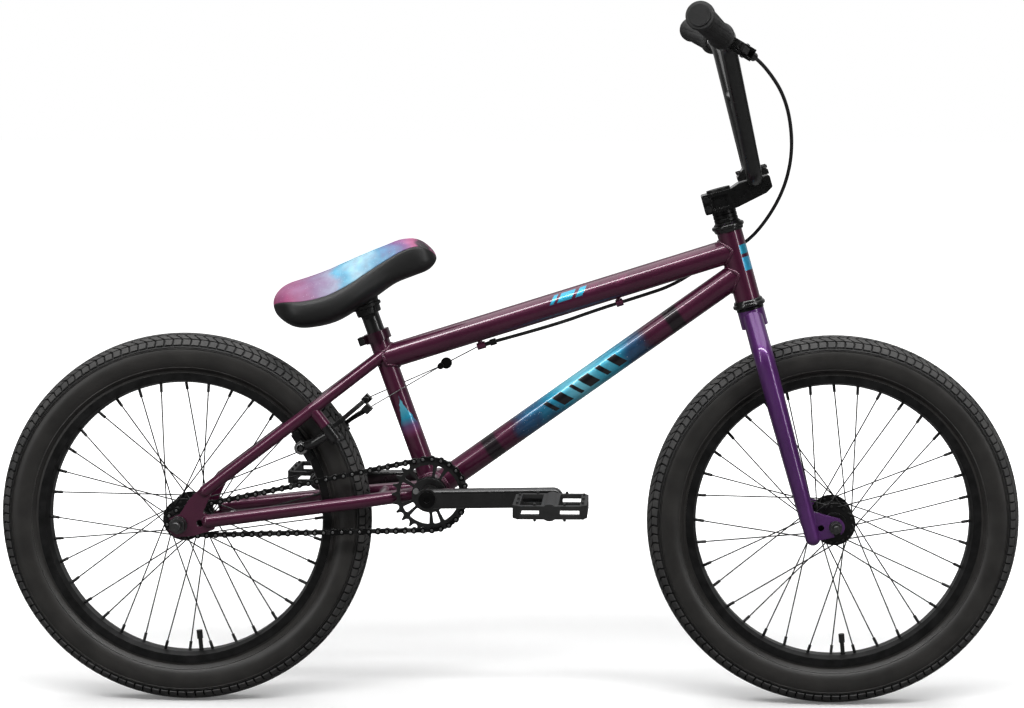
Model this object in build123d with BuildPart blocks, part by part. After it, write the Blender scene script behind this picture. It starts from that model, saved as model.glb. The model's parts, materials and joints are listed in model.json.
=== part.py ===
"""A freestyle BMX bicycle with 20 inch wheels, built as separate pieces.

+X points forward, +Y to the rider's left and +Z up, in millimetres. The origin is on the ground,
midway between the wheels and in the middle plane. The chain runs on the rider's right, the -Y side.
"""
import math
import os

from build123d import *

os.makedirs("parts", exist_ok=True)

# ---------------------------------------------------------------- driving dimensions
WHEELBASE = 920.0

# wheels
TYRE_RADIUS = 264.0
TYRE_WIDTH = 60.0
TYRE_WALL = 3.6
FLANGE_RADIUS = 209.0           # outer edge of the rim
BEAD_RADIUS = 203.0             # bead seat of a 406 mm rim
RIM_WELL_RADIUS = 194.5         # the rim's inner face, where the spokes enter
RIM_WIDTH = 36.0
RIM_LIP = 2.4
SPOKE_RADIUS = 0.95
SPOKES_PER_FLANGE = 18
SPOKE_CROSSES = 3
NIPPLE_RADIUS = 2.1
NIPPLE_LENGTH = 16.0
HUB_FLANGE_RADIUS = 30.0
HUB_FLANGE_THICKNESS = 2.4
SPOKE_HOLE_INSET = 4.5          # from the flange's edge to the spoke holes
HUB_SHELL_RADIUS = 17.0
FRONT_HUB_WIDTH = 100.0         # between the fork's dropouts
REAR_HUB_WIDTH = 110.0          # between the frame's dropouts
FRONT_AXLE_RADIUS = 4.75
REAR_AXLE_RADIUS = 7.0
FRONT_AXLE_END = 22.0           # axle end beyond the inside of the dropout
REAR_AXLE_END = 27.0
THREAD_DEPTH = 0.4              # under a nut the axle is drawn at the root of its thread
THREAD_RUNOUT = 0.5             # from a nut's outer face to the free end's full radius
WASHER_THICKNESS = 2.0

# drive train
CHAIN_PITCH = 12.7
CHAIN_LINE = 45.0
SPROCKET_TEETH = 25
DRIVER_TEETH = 9
CHAIN_SPAN = 28                 # pitches in each straight run
SPROCKET_WRAP = 13              # pitches round the sprocket
DRIVER_WRAP = 4                 # pitches round the driver
ROLLER_RADIUS = 3.87
PIN_RADIUS = 1.85
PLATE_RADIUS = 4.25
PLATE_THICKNESS = 1.05
ROLLER_LENGTH = 3.5
TOOTH_THICKNESS = 3.0
TOOTH_HEIGHT = 3.1              # above the pitch circle
DRIVER_TOOTH_HEIGHT = 2.0       # low enough to clear the links that leave the driver
SPROCKET_CLEARANCE = 0.08       # between a seated roller and its valley
DRIVER_CLEARANCE = 0.25         # wider, for the rollers that leave so small a wheel
CRANK_LENGTH = 175.0
CRANK_WIDTH = 27.5
CRANK_THICKNESS = 16.0
CRANK_OFFSET = 70.0             # inner face of the crank arm from the middle plane
SPINDLE_RADIUS = 9.5
PEDAL_LENGTH = 100.0
PEDAL_WIDTH = 95.0
PEDAL_HEIGHT = 18.0
PEDAL_GAP = 10.0                # between the crank arm and the pedal

# frame
BB_RISE = 42.0                  # bottom bracket above the axles
BB_SHELL_RADIUS = 24.0
BB_SHELL_WIDTH = 68.0
BB_BORE_RADIUS = 20.5
SEAT_TUBE_ANGLE = 70.5
SEAT_TUBE_LENGTH = 239.0
SEAT_TUBE_RADIUS = 14.3
SEAT_POST_RADIUS = 12.7
MAIN_TUBE_RADIUS = 17.45
TUBE_WALL = 1.6
TOP_TUBE_ON_SEAT_TUBE = 199.0   # from the bottom bracket, along the seat tube
TOP_TUBE_DROP = 27.0            # below the head tube's top
DOWN_TUBE_RISE = 40.0           # above the head tube's bottom
CHAINSTAY_RADIUS = 9.5
SEATSTAY_RADIUS = 8.5
STAY_SPREAD = 58.5              # stay's middle from the middle plane, at the dropout
DROPOUT_THICKNESS = 6.0
STAY_TYRE_GAP = 4.0

# steering
HEAD_ANGLE = 74.55
FORK_OFFSET = 34.4
FORK_LENGTH = 321.5             # axle to crown, along the steering axis
HEAD_TUBE_LENGTH = 100.0
HEAD_TUBE_RADIUS = 18.0
HEAD_TUBE_BORE = 16.0
STEERER_RADIUS = 14.3
CUP_RADIUS = 20.6
CUP_HEIGHT = 11.0
CROWN_RACE_HEIGHT = 3.0
RUNNING_GAP = 0.5               # between a turning face and a still one
SPIN_CLEARANCE = 0.05           # radial, between a shaft and its bearing
SPACER_RADIUS = 17.0
SPACER_HEIGHT = 5.4
SPACER_COUNT = 3
STEM_REACH = 52.0
STEM_RISE = 19.0
STEM_STACK = 28.0
STEM_WIDTH = 50.0
FORK_LEG_TOP_RADIUS = 14.0
FORK_LEG_END_RADIUS = 10.5

# handlebar
BAR_RADIUS = 11.1
BAR_WALL = 2.0
BAR_HALF_WIDTH = 361.0
BAR_CENTRE_HALF = 58.0          # to the corner where the riser starts
KNEE_HALF_WIDTH = 190.0
BAR_RISE = 186.0
BAR_LEAN = -44.0                # the knees stand this far behind the clamp
GRIP_SWEEP = -39.0
GRIP_LIFT = 29.0
BEND_RADIUS = 45.0
CROSSBAR_RADIUS = 8.0
CROSSBAR_SHARE = 0.62           # up the riser
GRIP_RADIUS = 17.5
GRIP_LENGTH = 140.0

# brake
BRAKE_DROP = 42.0               # from the seat stays' plane to the plane of the arms
BRAKE_PIVOT_RADIUS = 4.5
ARM_BOSS_RADIUS = 9.0
ARM_THICKNESS = 6.0
PAD_GAP = 2.2                   # between pad and rim with the brake off
PAD_SIZE = (46.0, 11.0, 10.0)
LEVER_REACH = 46.0

Y_AXIS = Vector(0, 1, 0)
CENTRED_BASE = (Align.CENTER, Align.CENTER, Align.MIN)


# ---------------------------------------------------------------- helpers
def bar(start, end, radius, bore=0.0, mode=Mode.ADD):
    """A round bar or tube between two points, made in the open part."""
    axis = Vector(end) - Vector(start)
    with Locations(Plane(origin=start, z_dir=axis)):
        Cylinder(radius, axis.length, align=CENTRED_BASE, mode=mode)
        if bore:
            Cylinder(bore, axis.length, align=CENTRED_BASE, mode=Mode.SUBTRACT)


def taper(start, end, start_radius, end_radius, mode=Mode.ADD):
    """A round bar whose radius changes evenly from one end to the other."""
    axis = Vector(end) - Vector(start)
    with Locations(Plane(origin=start, z_dir=axis)):
        Cone(start_radius, end_radius, axis.length, align=CENTRED_BASE, mode=mode)


def bent_tube(points, bend_radii, radius, bore=0.0):
    """A tube whose middle line runs through the points, with a round bend at each corner."""
    with BuildLine() as path:
        FilletPolyline(*points, radius=bend_radii)
    with BuildSketch(Plane(origin=path.line @ 0, z_dir=path.line % 0)) as section:
        Circle(radius)
        if bore:
            Circle(bore, mode=Mode.SUBTRACT)
    sweep(section.sketch, path=path.line)


def hexagon_bar(start, end, across_flats, mode=Mode.ADD):
    """A six-sided bar between two points, such as a nut."""
    axis = Vector(end) - Vector(start)
    with BuildSketch(Plane(origin=start, z_dir=axis)) as section:
        RegularPolygon(across_flats / 2, 6, major_radius=False)
    extrude(section.sketch, amount=axis.length, mode=mode)


def mirrored(point):
    """The same point on the other side of the middle plane."""
    return Vector(point.X, -point.Y, point.Z)


def sideways(point, y):
    """The point moved to a given distance from the middle plane."""
    return Vector(point.X, y, point.Z)


def save(part, name):
    """Label a finished piece and write it to its own file."""
    part.label = name
    export_step(part, f"parts/{name}.step")


def save_group(pieces, name):
    """Write several separate solids that belong together as one node."""
    solids = [solid for piece in pieces for solid in piece.solids()]
    save(Compound(children=solids), name)


def largest_solids(part, count):
    """The biggest solids of a part, without the offcuts that a cope leaves behind."""
    return part.solids().sort_by(SortBy.VOLUME)[-count:]


# ---------------------------------------------------------------- layout
rear_axle = Vector(-WHEELBASE / 2, 0, TYRE_RADIUS)
front_axle = Vector(WHEELBASE / 2, 0, TYRE_RADIUS)

sprocket_pitch_radius = CHAIN_PITCH / 2 / math.sin(math.pi / SPROCKET_TEETH)
driver_pitch_radius = CHAIN_PITCH / 2 / math.sin(math.pi / DRIVER_TEETH)
sprocket_half_wrap = math.pi * SPROCKET_WRAP / SPROCKET_TEETH
driver_half_wrap = math.pi * DRIVER_WRAP / DRIVER_TEETH
run_height = sprocket_pitch_radius * math.sin(sprocket_half_wrap)
run_height -= driver_pitch_radius * math.sin(driver_half_wrap)
run_shortfall = sprocket_pitch_radius * math.cos(sprocket_half_wrap)
run_shortfall += driver_pitch_radius * math.cos(driver_half_wrap)
# the axle distance at which the chain closes with whole pitches
chain_centres = math.sqrt((CHAIN_SPAN * CHAIN_PITCH) ** 2 - run_height ** 2) - run_shortfall
bb = rear_axle + Vector(math.sqrt(chain_centres ** 2 - BB_RISE ** 2), 0, BB_RISE)
stay_way = (bb - rear_axle).normalized()
stay_up = Vector(-stay_way.Z, 0, stay_way.X)

seat_angle = math.radians(SEAT_TUBE_ANGLE)
seat_up = Vector(-math.cos(seat_angle), 0, math.sin(seat_angle))
seat_back = Vector(-math.sin(seat_angle), 0, -math.cos(seat_angle))
seat_tube_top = bb + seat_up * SEAT_TUBE_LENGTH

head_angle = math.radians(HEAD_ANGLE)
steer_up = Vector(-math.cos(head_angle), 0, math.sin(head_angle))
steer_ahead = Vector(math.sin(head_angle), 0, math.cos(head_angle))
steer_foot = front_axle - steer_ahead * FORK_OFFSET


def on_steerer(height, ahead=0.0, y=0.0):
    """A point at a height along the steering axis, moved ahead of it and sideways."""
    return steer_foot + steer_up * height + steer_ahead * ahead + Y_AXIS * y


crown_top = FORK_LENGTH
lower_cup_base = crown_top + CROWN_RACE_HEIGHT + RUNNING_GAP
head_base = lower_cup_base + CUP_HEIGHT
head_top = head_base + HEAD_TUBE_LENGTH
upper_cup_top = head_top + CUP_HEIGHT
cover_base = upper_cup_top + RUNNING_GAP
cover_top = cover_base + 2.8
stem_base = cover_top + SPACER_COUNT * SPACER_HEIGHT
stem_middle = stem_base + STEM_STACK / 2
stem_top = stem_base + STEM_STACK
steerer_top = stem_top - 3.0
clamp_centre = on_steerer(stem_middle + STEM_RISE, STEM_REACH)

top_tube_rear = bb + seat_up * TOP_TUBE_ON_SEAT_TUBE
top_tube_front = on_steerer(head_top - TOP_TUBE_DROP)
down_tube_front = on_steerer(head_base + DOWN_TUBE_RISE)
top_tube_way = (top_tube_front - top_tube_rear).normalized()
top_tube_under = Vector(top_tube_way.Z, 0, -top_tube_way.X)

# ---------------------------------------------------------------- frame tubes
with BuildPart() as head_tube:
    bar(on_steerer(head_base), on_steerer(head_top), HEAD_TUBE_RADIUS, HEAD_TUBE_BORE)
save(head_tube.part, "head_tube")

bb_half = Y_AXIS * (BB_SHELL_WIDTH / 2)
with BuildPart() as bottom_bracket_shell:
    bar(bb - bb_half, bb + bb_half, BB_SHELL_RADIUS, BB_BORE_RADIUS)
save(bottom_bracket_shell.part, "bottom_bracket_shell")

with BuildPart() as seat_tube:
    bar(bb, seat_tube_top, SEAT_TUBE_RADIUS, SEAT_POST_RADIUS + SPIN_CLEARANCE)
    bar(bb - bb_half, bb + bb_half, BB_SHELL_RADIUS, mode=Mode.SUBTRACT)
save(seat_tube.part, "seat_tube")

with BuildPart() as top_tube:
    bar(top_tube_rear, top_tube_front, MAIN_TUBE_RADIUS, MAIN_TUBE_RADIUS - TUBE_WALL)
    bar(bb, seat_tube_top, SEAT_TUBE_RADIUS, mode=Mode.SUBTRACT)
    bar(on_steerer(head_base), on_steerer(head_top), HEAD_TUBE_RADIUS, mode=Mode.SUBTRACT)
save(top_tube.part, "top_tube")

with BuildPart() as down_tube:
    bar(bb, down_tube_front, MAIN_TUBE_RADIUS, MAIN_TUBE_RADIUS - TUBE_WALL)
    bar(bb - bb_half, bb + bb_half, BB_SHELL_RADIUS, mode=Mode.SUBTRACT)
    bar(bb, seat_tube_top, SEAT_TUBE_RADIUS, mode=Mode.SUBTRACT)
    bar(on_steerer(head_base), on_steerer(head_top), HEAD_TUBE_RADIUS, mode=Mode.SUBTRACT)
    bar(top_tube_rear, top_tube_front, MAIN_TUBE_RADIUS, mode=Mode.SUBTRACT)
save(down_tube.part, "down_tube")

# ---------------------------------------------------------------- rear triangle
dropout_inner = REAR_HUB_WIDTH / 2
dropout_outer = dropout_inner + DROPOUT_THICKNESS
DROPOUT_OUTLINE = [
    (-14, -8), (-5, -18), (20, -16), (50, -7), (52, 9), (34, 17),
    (46, 42), (33, 54), (14, 34), (2, 15), (-14, 8),
]
SLOT_HALF = REAR_AXLE_RADIUS + 0.1


def dropout_plate(side):
    """A rear dropout: a flat plate round the axle, with a slot open to the rear."""
    with BuildSketch(Plane(origin=rear_axle, x_dir=(1, 0, 0), z_dir=(0, -1, 0))) as outline:
        Polygon(*DROPOUT_OUTLINE, align=None)
        fillet(outline.vertices(), 3.0)
        Circle(SLOT_HALF, mode=Mode.SUBTRACT)
        Rectangle(40, 2 * SLOT_HALF, align=(Align.MAX, Align.CENTER), mode=Mode.SUBTRACT)
        with Locations((30, 2)):
            Circle(5.0, mode=Mode.SUBTRACT)
    with BuildPart() as plate:
        extrude(outline.sketch, amount=DROPOUT_THICKNESS)
    offset = dropout_outer if side > 0 else -dropout_inner
    return plate.part.moved(Location((0, offset, 0)))


dropouts = [dropout_plate(side) for side in (-1, 1)]
with BuildPart() as rear_dropouts:
    add(dropouts)
save(rear_dropouts.part, "rear_dropouts")

# chainstays: past the tyre at its widest place, then in to the bottom bracket shell
tyre_side = TYRE_RADIUS - 20.0
stay_at_tyre = TYRE_WIDTH / 2 + STAY_TYRE_GAP + CHAINSTAY_RADIUS - 0.5
chainstay_points = [
    rear_axle + stay_way * 42 + Y_AXIS * STAY_SPREAD,
    rear_axle + stay_way * tyre_side + Y_AXIS * stay_at_tyre,
    bb + Y_AXIS * (BB_SHELL_WIDTH / 2 - CHAINSTAY_RADIUS - 2.5),
]
# seat stays: in line from the dropout to the seat tube, with a bend over the tyre
stay_foot = rear_axle + Vector(38, 0, 48)
stay_head = bb + seat_up * (TOP_TUBE_ON_SEAT_TUBE + 6)
seatstay_way = (stay_head - stay_foot).normalized()
brake_way = Vector(seatstay_way.Z, 0, -seatstay_way.X)
foot_along = (stay_foot - rear_axle).dot(seatstay_way)
foot_off = (stay_foot - rear_axle).dot(brake_way)
bend_reach = TYRE_RADIUS - 12.0
bend_distance = math.sqrt(bend_reach ** 2 - foot_off ** 2) - foot_along
stay_bend = stay_foot + seatstay_way * bend_distance
stay_at_bend = TYRE_WIDTH / 2 + SEATSTAY_RADIUS + 6.5
seatstay_points = [
    stay_foot + Y_AXIS * STAY_SPREAD,
    stay_bend + Y_AXIS * stay_at_bend,
    stay_head + Y_AXIS * SEATSTAY_RADIUS,
]

with BuildPart() as chainstays:
    bent_tube(chainstay_points, 150, CHAINSTAY_RADIUS)
    with Locations(chainstay_points[0]):
        Sphere(CHAINSTAY_RADIUS)
    bar(bb - bb_half, bb + bb_half, BB_SHELL_RADIUS, mode=Mode.SUBTRACT)
    add(dropouts, mode=Mode.SUBTRACT)
    mirror(about=Plane.XZ)
save(chainstays.part, "chainstays")

with BuildPart() as seatstays:
    bent_tube(seatstay_points, 60, SEATSTAY_RADIUS)
    with Locations(seatstay_points[0]):
        Sphere(SEATSTAY_RADIUS)
    bar(bb, seat_tube_top + seat_up * 20, SEAT_TUBE_RADIUS, mode=Mode.SUBTRACT)
    bar(top_tube_rear, top_tube_front, MAIN_TUBE_RADIUS, mode=Mode.SUBTRACT)
    add(dropouts, mode=Mode.SUBTRACT)
    mirror(about=Plane.XZ)
save(seatstays.part, "seatstays")

bridge_gap = 11.0
lower_bridge = rear_axle + stay_way * (TYRE_RADIUS + bridge_gap + 7)
upper_bridge = stay_bend + seatstay_way * (TYRE_RADIUS + bridge_gap + 6 - bend_reach)
with BuildPart() as stay_bridges:
    bar(sideways(lower_bridge, -45), sideways(lower_bridge, 45), 7.0)
    bar(sideways(upper_bridge, -45), sideways(upper_bridge, 45), 6.0)
    add(chainstays.part, mode=Mode.SUBTRACT)
    add(seatstays.part, mode=Mode.SUBTRACT)
bridge_pieces = largest_solids(stay_bridges.part, 2)

# ---------------------------------------------------------------- brake bosses and cable guides
stud_along = bend_distance - 4.0
stud_foot = stay_foot + seatstay_way * stud_along
stud_y = STAY_SPREAD + (stay_at_bend - STAY_SPREAD) * stud_along / bend_distance
boss_end = BRAKE_DROP - 12.0
pin_end = BRAKE_DROP + 12.0

with BuildPart() as brake_studs:
    for side in (-1, 1):
        foot = sideways(stud_foot, side * stud_y)
        bar(foot, foot + brake_way * boss_end, 8.0)
        bar(foot + brake_way * boss_end, foot + brake_way * pin_end, BRAKE_PIVOT_RADIUS)
    add(seatstays.part, mode=Mode.SUBTRACT)
save_group([*bridge_pieces, *largest_solids(brake_studs.part, 2)], "stay_fittings")

with BuildPart() as brake_pivot_bolts:
    for side in (-1, 1):
        head = sideways(stud_foot, side * stud_y) + brake_way * pin_end
        bar(head, head + brake_way * 4.0, 7.0)
        hexagon_bar(head + brake_way * 1.5, head + brake_way * 4.0, 5.0, mode=Mode.SUBTRACT)

HOUSING_RADIUS = 2.5
WIRE_RADIUS = 0.8
guide_drop = MAIN_TUBE_RADIUS + 6.5


def under_top_tube(distance, drop=guide_drop, y=0.0):
    """A point under the top tube, at a distance from its rear end."""
    return top_tube_rear + top_tube_way * distance + top_tube_under * drop + Y_AXIS * y


STOP_DISTANCE = 135.0
CLIP_DISTANCE = 340.0
with BuildPart() as cable_guides:
    bar(under_top_tube(STOP_DISTANCE - 6), under_top_tube(STOP_DISTANCE + 6), 5.0)
    bar(under_top_tube(STOP_DISTANCE, 0), under_top_tube(STOP_DISTANCE), 3.4)
    wire_bore = WIRE_RADIUS + 0.7
    bar(under_top_tube(STOP_DISTANCE - 7), under_top_tube(STOP_DISTANCE + 7), wire_bore, mode=Mode.SUBTRACT)
    bar(under_top_tube(CLIP_DISTANCE - 5), under_top_tube(CLIP_DISTANCE + 5), 5.2)
    bar(under_top_tube(CLIP_DISTANCE, 0), under_top_tube(CLIP_DISTANCE), 3.4)
    clip_bore = HOUSING_RADIUS + SPIN_CLEARANCE
    bar(under_top_tube(CLIP_DISTANCE - 6), under_top_tube(CLIP_DISTANCE + 6), clip_bore, mode=Mode.SUBTRACT)
    bar(top_tube_rear, top_tube_front, MAIN_TUBE_RADIUS, mode=Mode.SUBTRACT)
save_group(largest_solids(cable_guides.part, 2), "cable_guides")

BARREL_LENGTH = 16.0
barrel_rear = STOP_DISTANCE + 6
barrel_front = barrel_rear + BARREL_LENGTH
with BuildPart() as barrel_adjuster:
    bar(under_top_tube(barrel_rear), under_top_tube(barrel_rear + 7), 3.0)
    bar(under_top_tube(barrel_rear + 7), under_top_tube(barrel_front), 4.6)
    bar(under_top_tube(barrel_rear - 1), under_top_tube(barrel_front + 1), 1.0, mode=Mode.SUBTRACT)
save(barrel_adjuster.part, "barrel_adjuster")

# ---------------------------------------------------------------- headset and bottom bracket bearings
BEARING_RADIUS = 18.2
BEARING_HEIGHT = 7.5
with BuildPart() as headset_cups:
    for mouth, way in ((head_base, 1), (head_top, -1)):
        rim_end = mouth - way * CUP_HEIGHT
        bar(on_steerer(rim_end), on_steerer(mouth), CUP_RADIUS)
        bar(on_steerer(mouth), on_steerer(mouth + way * 10), HEAD_TUBE_BORE)
        bar(on_steerer(rim_end), on_steerer(mouth + way * 10), STEERER_RADIUS + 0.8, mode=Mode.SUBTRACT)
        bar(on_steerer(rim_end), on_steerer(rim_end + way * 8), BEARING_RADIUS, mode=Mode.SUBTRACT)
save(headset_cups.part, "headset_cups")

with BuildPart() as headset_bearings:
    for mouth, way in ((head_base, 1), (head_top, -1)):
        seat = mouth - way * (CUP_HEIGHT - 8)
        bore = STEERER_RADIUS + SPIN_CLEARANCE
        bar(on_steerer(seat), on_steerer(seat - way * BEARING_HEIGHT), BEARING_RADIUS, bore)

BB_BEARING_WIDTH = 12.0
with BuildPart() as bb_bearings:
    for side in (-1, 1):
        outer = bb + Y_AXIS * side * BB_SHELL_WIDTH / 2
        inner = outer - Y_AXIS * side * BB_BEARING_WIDTH
        bar(inner, outer, BB_BORE_RADIUS, SPINDLE_RADIUS + SPIN_CLEARANCE)
save_group([headset_bearings.part, bb_bearings.part], "frame_bearings")

# ---------------------------------------------------------------- seat
clamp_base = seat_tube_top - seat_up * 14
clamp_radius = SEAT_TUBE_RADIUS + 4.2
lug_middle = seat_tube_top - seat_up * 7 + seat_back * (clamp_radius + 4)
with BuildPart() as seat_clamp:
    bar(clamp_base, seat_tube_top, clamp_radius)
    with Locations(Plane(origin=lug_middle - seat_back * 3, x_dir=seat_back, z_dir=seat_up)):
        Box(16, 18, 12)
    bar(clamp_base - seat_up, seat_tube_top + seat_up, SEAT_TUBE_RADIUS, mode=Mode.SUBTRACT)
    with Locations(Plane(origin=lug_middle, x_dir=seat_back, z_dir=seat_up)):
        Box(20, 2, 20, mode=Mode.SUBTRACT)
    bar(lug_middle - Y_AXIS * 12, lug_middle + Y_AXIS * 12, 2.6, mode=Mode.SUBTRACT)
save(seat_clamp.part, "seat_clamp")

with BuildPart() as seat_clamp_bolt:
    bar(lug_middle - Y_AXIS * 9, lug_middle + Y_AXIS * 9, 2.55)
    bar(lug_middle - Y_AXIS * 13, lug_middle - Y_AXIS * 9, 4.4)
    hexagon_bar(lug_middle + Y_AXIS * 9, lug_middle + Y_AXIS * 12, 8.0)
save_group([seat_clamp_bolt.part, brake_pivot_bolts.part], "frame_bolts")

POST_INSERT = 90.0
SEAT_HEIGHT = 46.0              # from the seat tube's top to the saddle's pivot
SEAT_TILT = 18.0                # nose up
seat_pivot = seat_tube_top + seat_up * SEAT_HEIGHT
tilt = math.radians(SEAT_TILT)
saddle_ahead = Vector(math.cos(tilt), 0, math.sin(tilt))
saddle_up = Vector(-math.sin(tilt), 0, math.cos(tilt))
POST_HEAD_RADIUS = 12.5
POST_HEAD_HALF = 15.0
post_head = seat_pivot - seat_up * (POST_HEAD_RADIUS + 1.5)
with BuildPart() as seat_post:
    bar(seat_tube_top - seat_up * POST_INSERT, post_head, SEAT_POST_RADIUS)
    bar(post_head - Y_AXIS * POST_HEAD_HALF, post_head + Y_AXIS * POST_HEAD_HALF, POST_HEAD_RADIUS)
save(seat_post.part, "seat_post")

# Saddle sections: place along the saddle, half width, and the heights of the under side and the
# crown above the pivot, square to the saddle's own line.
SADDLE_SECTIONS = [
    (-118, 34, 31, 46),
    (-98, 58, 5, 69),
    (-60, 70, -7, 77),
    (-18, 62, -3, 78),
    (26, 40, 15, 75),
    (66, 27, 25, 68),
    (98, 20, 28, 54),
    (112, 12, 31, 41),
]


def saddle_point(forward, y, height):
    """A point in the saddle's own directions, measured from its pivot."""
    return seat_pivot + saddle_ahead * forward + Y_AXIS * y + saddle_up * height


def saddle_loft():
    """A closed body through the saddle's sections."""
    with BuildPart() as body:
        for place, half, base, top in SADDLE_SECTIONS:
            belt = base + (top - base) * 0.45
            plane = Plane(origin=saddle_point(place, 0, 0), x_dir=(0, 1, 0), z_dir=saddle_ahead)
            flip = 1 if plane.y_dir.dot(saddle_up) > 0 else -1
            with BuildSketch(plane):
                with BuildLine():
                    Spline(
                        (0, flip * base), (half * 0.7, flip * (base + (belt - base) * 0.35)),
                        (half, flip * belt), (half * 0.68, flip * (belt + (top - belt) * 0.78)),
                        (0, flip * top), (-half * 0.68, flip * (belt + (top - belt) * 0.78)),
                        (-half, flip * belt), (-half * 0.7, flip * (base + (belt - base) * 0.35)),
                        periodic=True,
                    )
                make_face()
        loft()
    return body.part


saddle_cushion = saddle_loft()
with BuildPart() as seat_cushion:
    add(saddle_cushion)
save(seat_cushion.part, "seat_cushion")

SADDLE_PLATE = (120.0, 42.0, 16.0)
with BuildPart() as seat_base:
    with Locations(Plane(origin=saddle_point(6, 0, 5), x_dir=saddle_ahead, z_dir=saddle_up)):
        Box(*SADDLE_PLATE)
        fillet(seat_base.edges().filter_by(Axis((0, 0, 0), saddle_up)), 4)
    for forward in (-24, 22):
        with Locations(Plane(origin=saddle_point(forward, 0, -6), x_dir=saddle_ahead, z_dir=saddle_up)):
            Box(14, 26, 22)
    add(saddle_cushion, mode=Mode.SUBTRACT)
    add(seat_post.part, mode=Mode.SUBTRACT)
save(largest_solids(seat_base.part, 1)[0], "seat_base")

# ---------------------------------------------------------------- wheels
RIM_SHOULDER = 3.5
tyre_crown_centre = TYRE_RADIUS - TYRE_WIDTH / 2


def wheel_section(centre):
    """The plane through a wheel's axis: first direction outward (up), second direction across (+Y)."""
    return Plane(origin=centre, x_dir=(0, 0, 1), z_dir=(-1, 0, 0))


def wheel_axis(centre):
    """The line that a wheel turns about."""
    return Axis(centre, (0, 1, 0))


def rim_solid(centre):
    """A rim without its spoke holes: a channel with two flanges that hold the tyre."""
    half = RIM_WIDTH / 2
    floor = BEAD_RADIUS - 3.0
    with BuildPart() as rim:
        with BuildSketch(wheel_section(centre)):
            Polygon(
                (RIM_WELL_RADIUS, -half * 0.45), (RIM_WELL_RADIUS + RIM_SHOULDER, -half),
                (FLANGE_RADIUS, -half), (FLANGE_RADIUS, -half + RIM_LIP),
                (BEAD_RADIUS, -half + RIM_LIP), (floor, -half * 0.6),
                (floor, half * 0.6), (BEAD_RADIUS, half - RIM_LIP),
                (FLANGE_RADIUS, half - RIM_LIP), (FLANGE_RADIUS, half),
                (RIM_WELL_RADIUS + RIM_SHOULDER, half), (RIM_WELL_RADIUS, half * 0.45),
                align=None,
            )
        revolve(axis=wheel_axis(centre))
    return rim.part


def tyre_solid(centre):
    """A tyre: a hollow ring, open towards the rim, with its beads inside the rim's flanges."""
    bead = RIM_WIDTH / 2 - RIM_LIP - 0.05
    widest = TYRE_WIDTH / 2
    lip = FLANGE_RADIUS + 0.3
    with BuildPart() as tyre:
        with BuildSketch(wheel_section(centre)):
            with BuildLine():
                Line((BEAD_RADIUS + 0.1, bead), (lip, bead))
                Line((lip, bead), (lip + 1.5, bead + 2.5))
                side_mid = ((lip + 1.5) * 0.62 + tyre_crown_centre * 0.38, widest - 3.4)
                ThreePointArc((lip + 1.5, bead + 2.5), side_mid, (tyre_crown_centre, widest))
                ThreePointArc((tyre_crown_centre, widest), (TYRE_RADIUS, 0), (tyre_crown_centre, -widest))
                side_mid = (side_mid[0], -side_mid[1])
                ThreePointArc((tyre_crown_centre, -widest), side_mid, (lip + 1.5, -bead - 2.5))
                Line((lip + 1.5, -bead - 2.5), (lip, -bead))
                Line((lip, -bead), (BEAD_RADIUS + 0.1, -bead))
                Line((BEAD_RADIUS + 0.1, -bead), (BEAD_RADIUS + 0.1, -bead + TYRE_WALL))
                inner = widest - TYRE_WALL
                Line((BEAD_RADIUS + 0.1, -bead + TYRE_WALL), (lip + 4, -bead + TYRE_WALL - 2))
                Line((lip + 4, -bead + TYRE_WALL - 2), (tyre_crown_centre, -inner))
                ThreePointArc(
                    (tyre_crown_centre, -inner), (TYRE_RADIUS - TYRE_WALL - 1, 0), (tyre_crown_centre, inner)
                )
                Line((tyre_crown_centre, inner), (lip + 4, bead - TYRE_WALL + 2))
                Line((lip + 4, bead - TYRE_WALL + 2), (BEAD_RADIUS + 0.1, bead - TYRE_WALL))
                Line((BEAD_RADIUS + 0.1, bead - TYRE_WALL), (BEAD_RADIUS + 0.1, bead))
            make_face()
        revolve(axis=wheel_axis(centre))
    return tyre.part


SPOKE_STEP = 2 * math.pi / SPOKES_PER_FLANGE
SPOKE_REPEAT = 360.0 / (SPOKES_PER_FLANGE / 2)
spoke_hole_radius = HUB_FLANGE_RADIUS - SPOKE_HOLE_INSET
spoke_lift = HUB_FLANGE_THICKNESS / 2 + SPOKE_RADIUS + 0.05
head_lift = HUB_FLANGE_THICKNESS / 2 + 1.0


def spoke_route(centre, y, flange, lean):
    """The corners of one spoke, from its head through the flange to the rim's inner face."""
    at_hub = flange * SPOKE_STEP / 2 + (SPOKE_STEP if lean > 0 else 0)
    at_rim = at_hub + lean * SPOKE_CROSSES * SPOKE_STEP
    side = 1 if y > 0 else -1
    hole = centre + Vector(math.cos(at_hub), 0, math.sin(at_hub)) * spoke_hole_radius + Y_AXIS * y
    rim_y = side * 3.2 + lean * (SPOKE_RADIUS + 0.1)
    rim_end = centre + Vector(math.cos(at_rim), 0, math.sin(at_rim)) * RIM_WELL_RADIUS + Y_AXIS * rim_y
    head = hole - Y_AXIS * lean * head_lift
    elbow = hole + Y_AXIS * lean * spoke_lift
    route = [head, elbow]
    if lean * side > 0:
        # a spoke outside its flange stays beside it until it is past the flange's edge
        flat_way = sideways(rim_end - elbow, 0).normalized()
        inward = sideways(elbow - centre, 0).dot(flat_way)
        past_edge = (HUB_FLANGE_RADIUS + 1.5) ** 2 - spoke_hole_radius ** 2
        route.append(elbow + flat_way * (math.sqrt(inward ** 2 + past_edge) - inward))
    return route + [rim_end]


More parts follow.
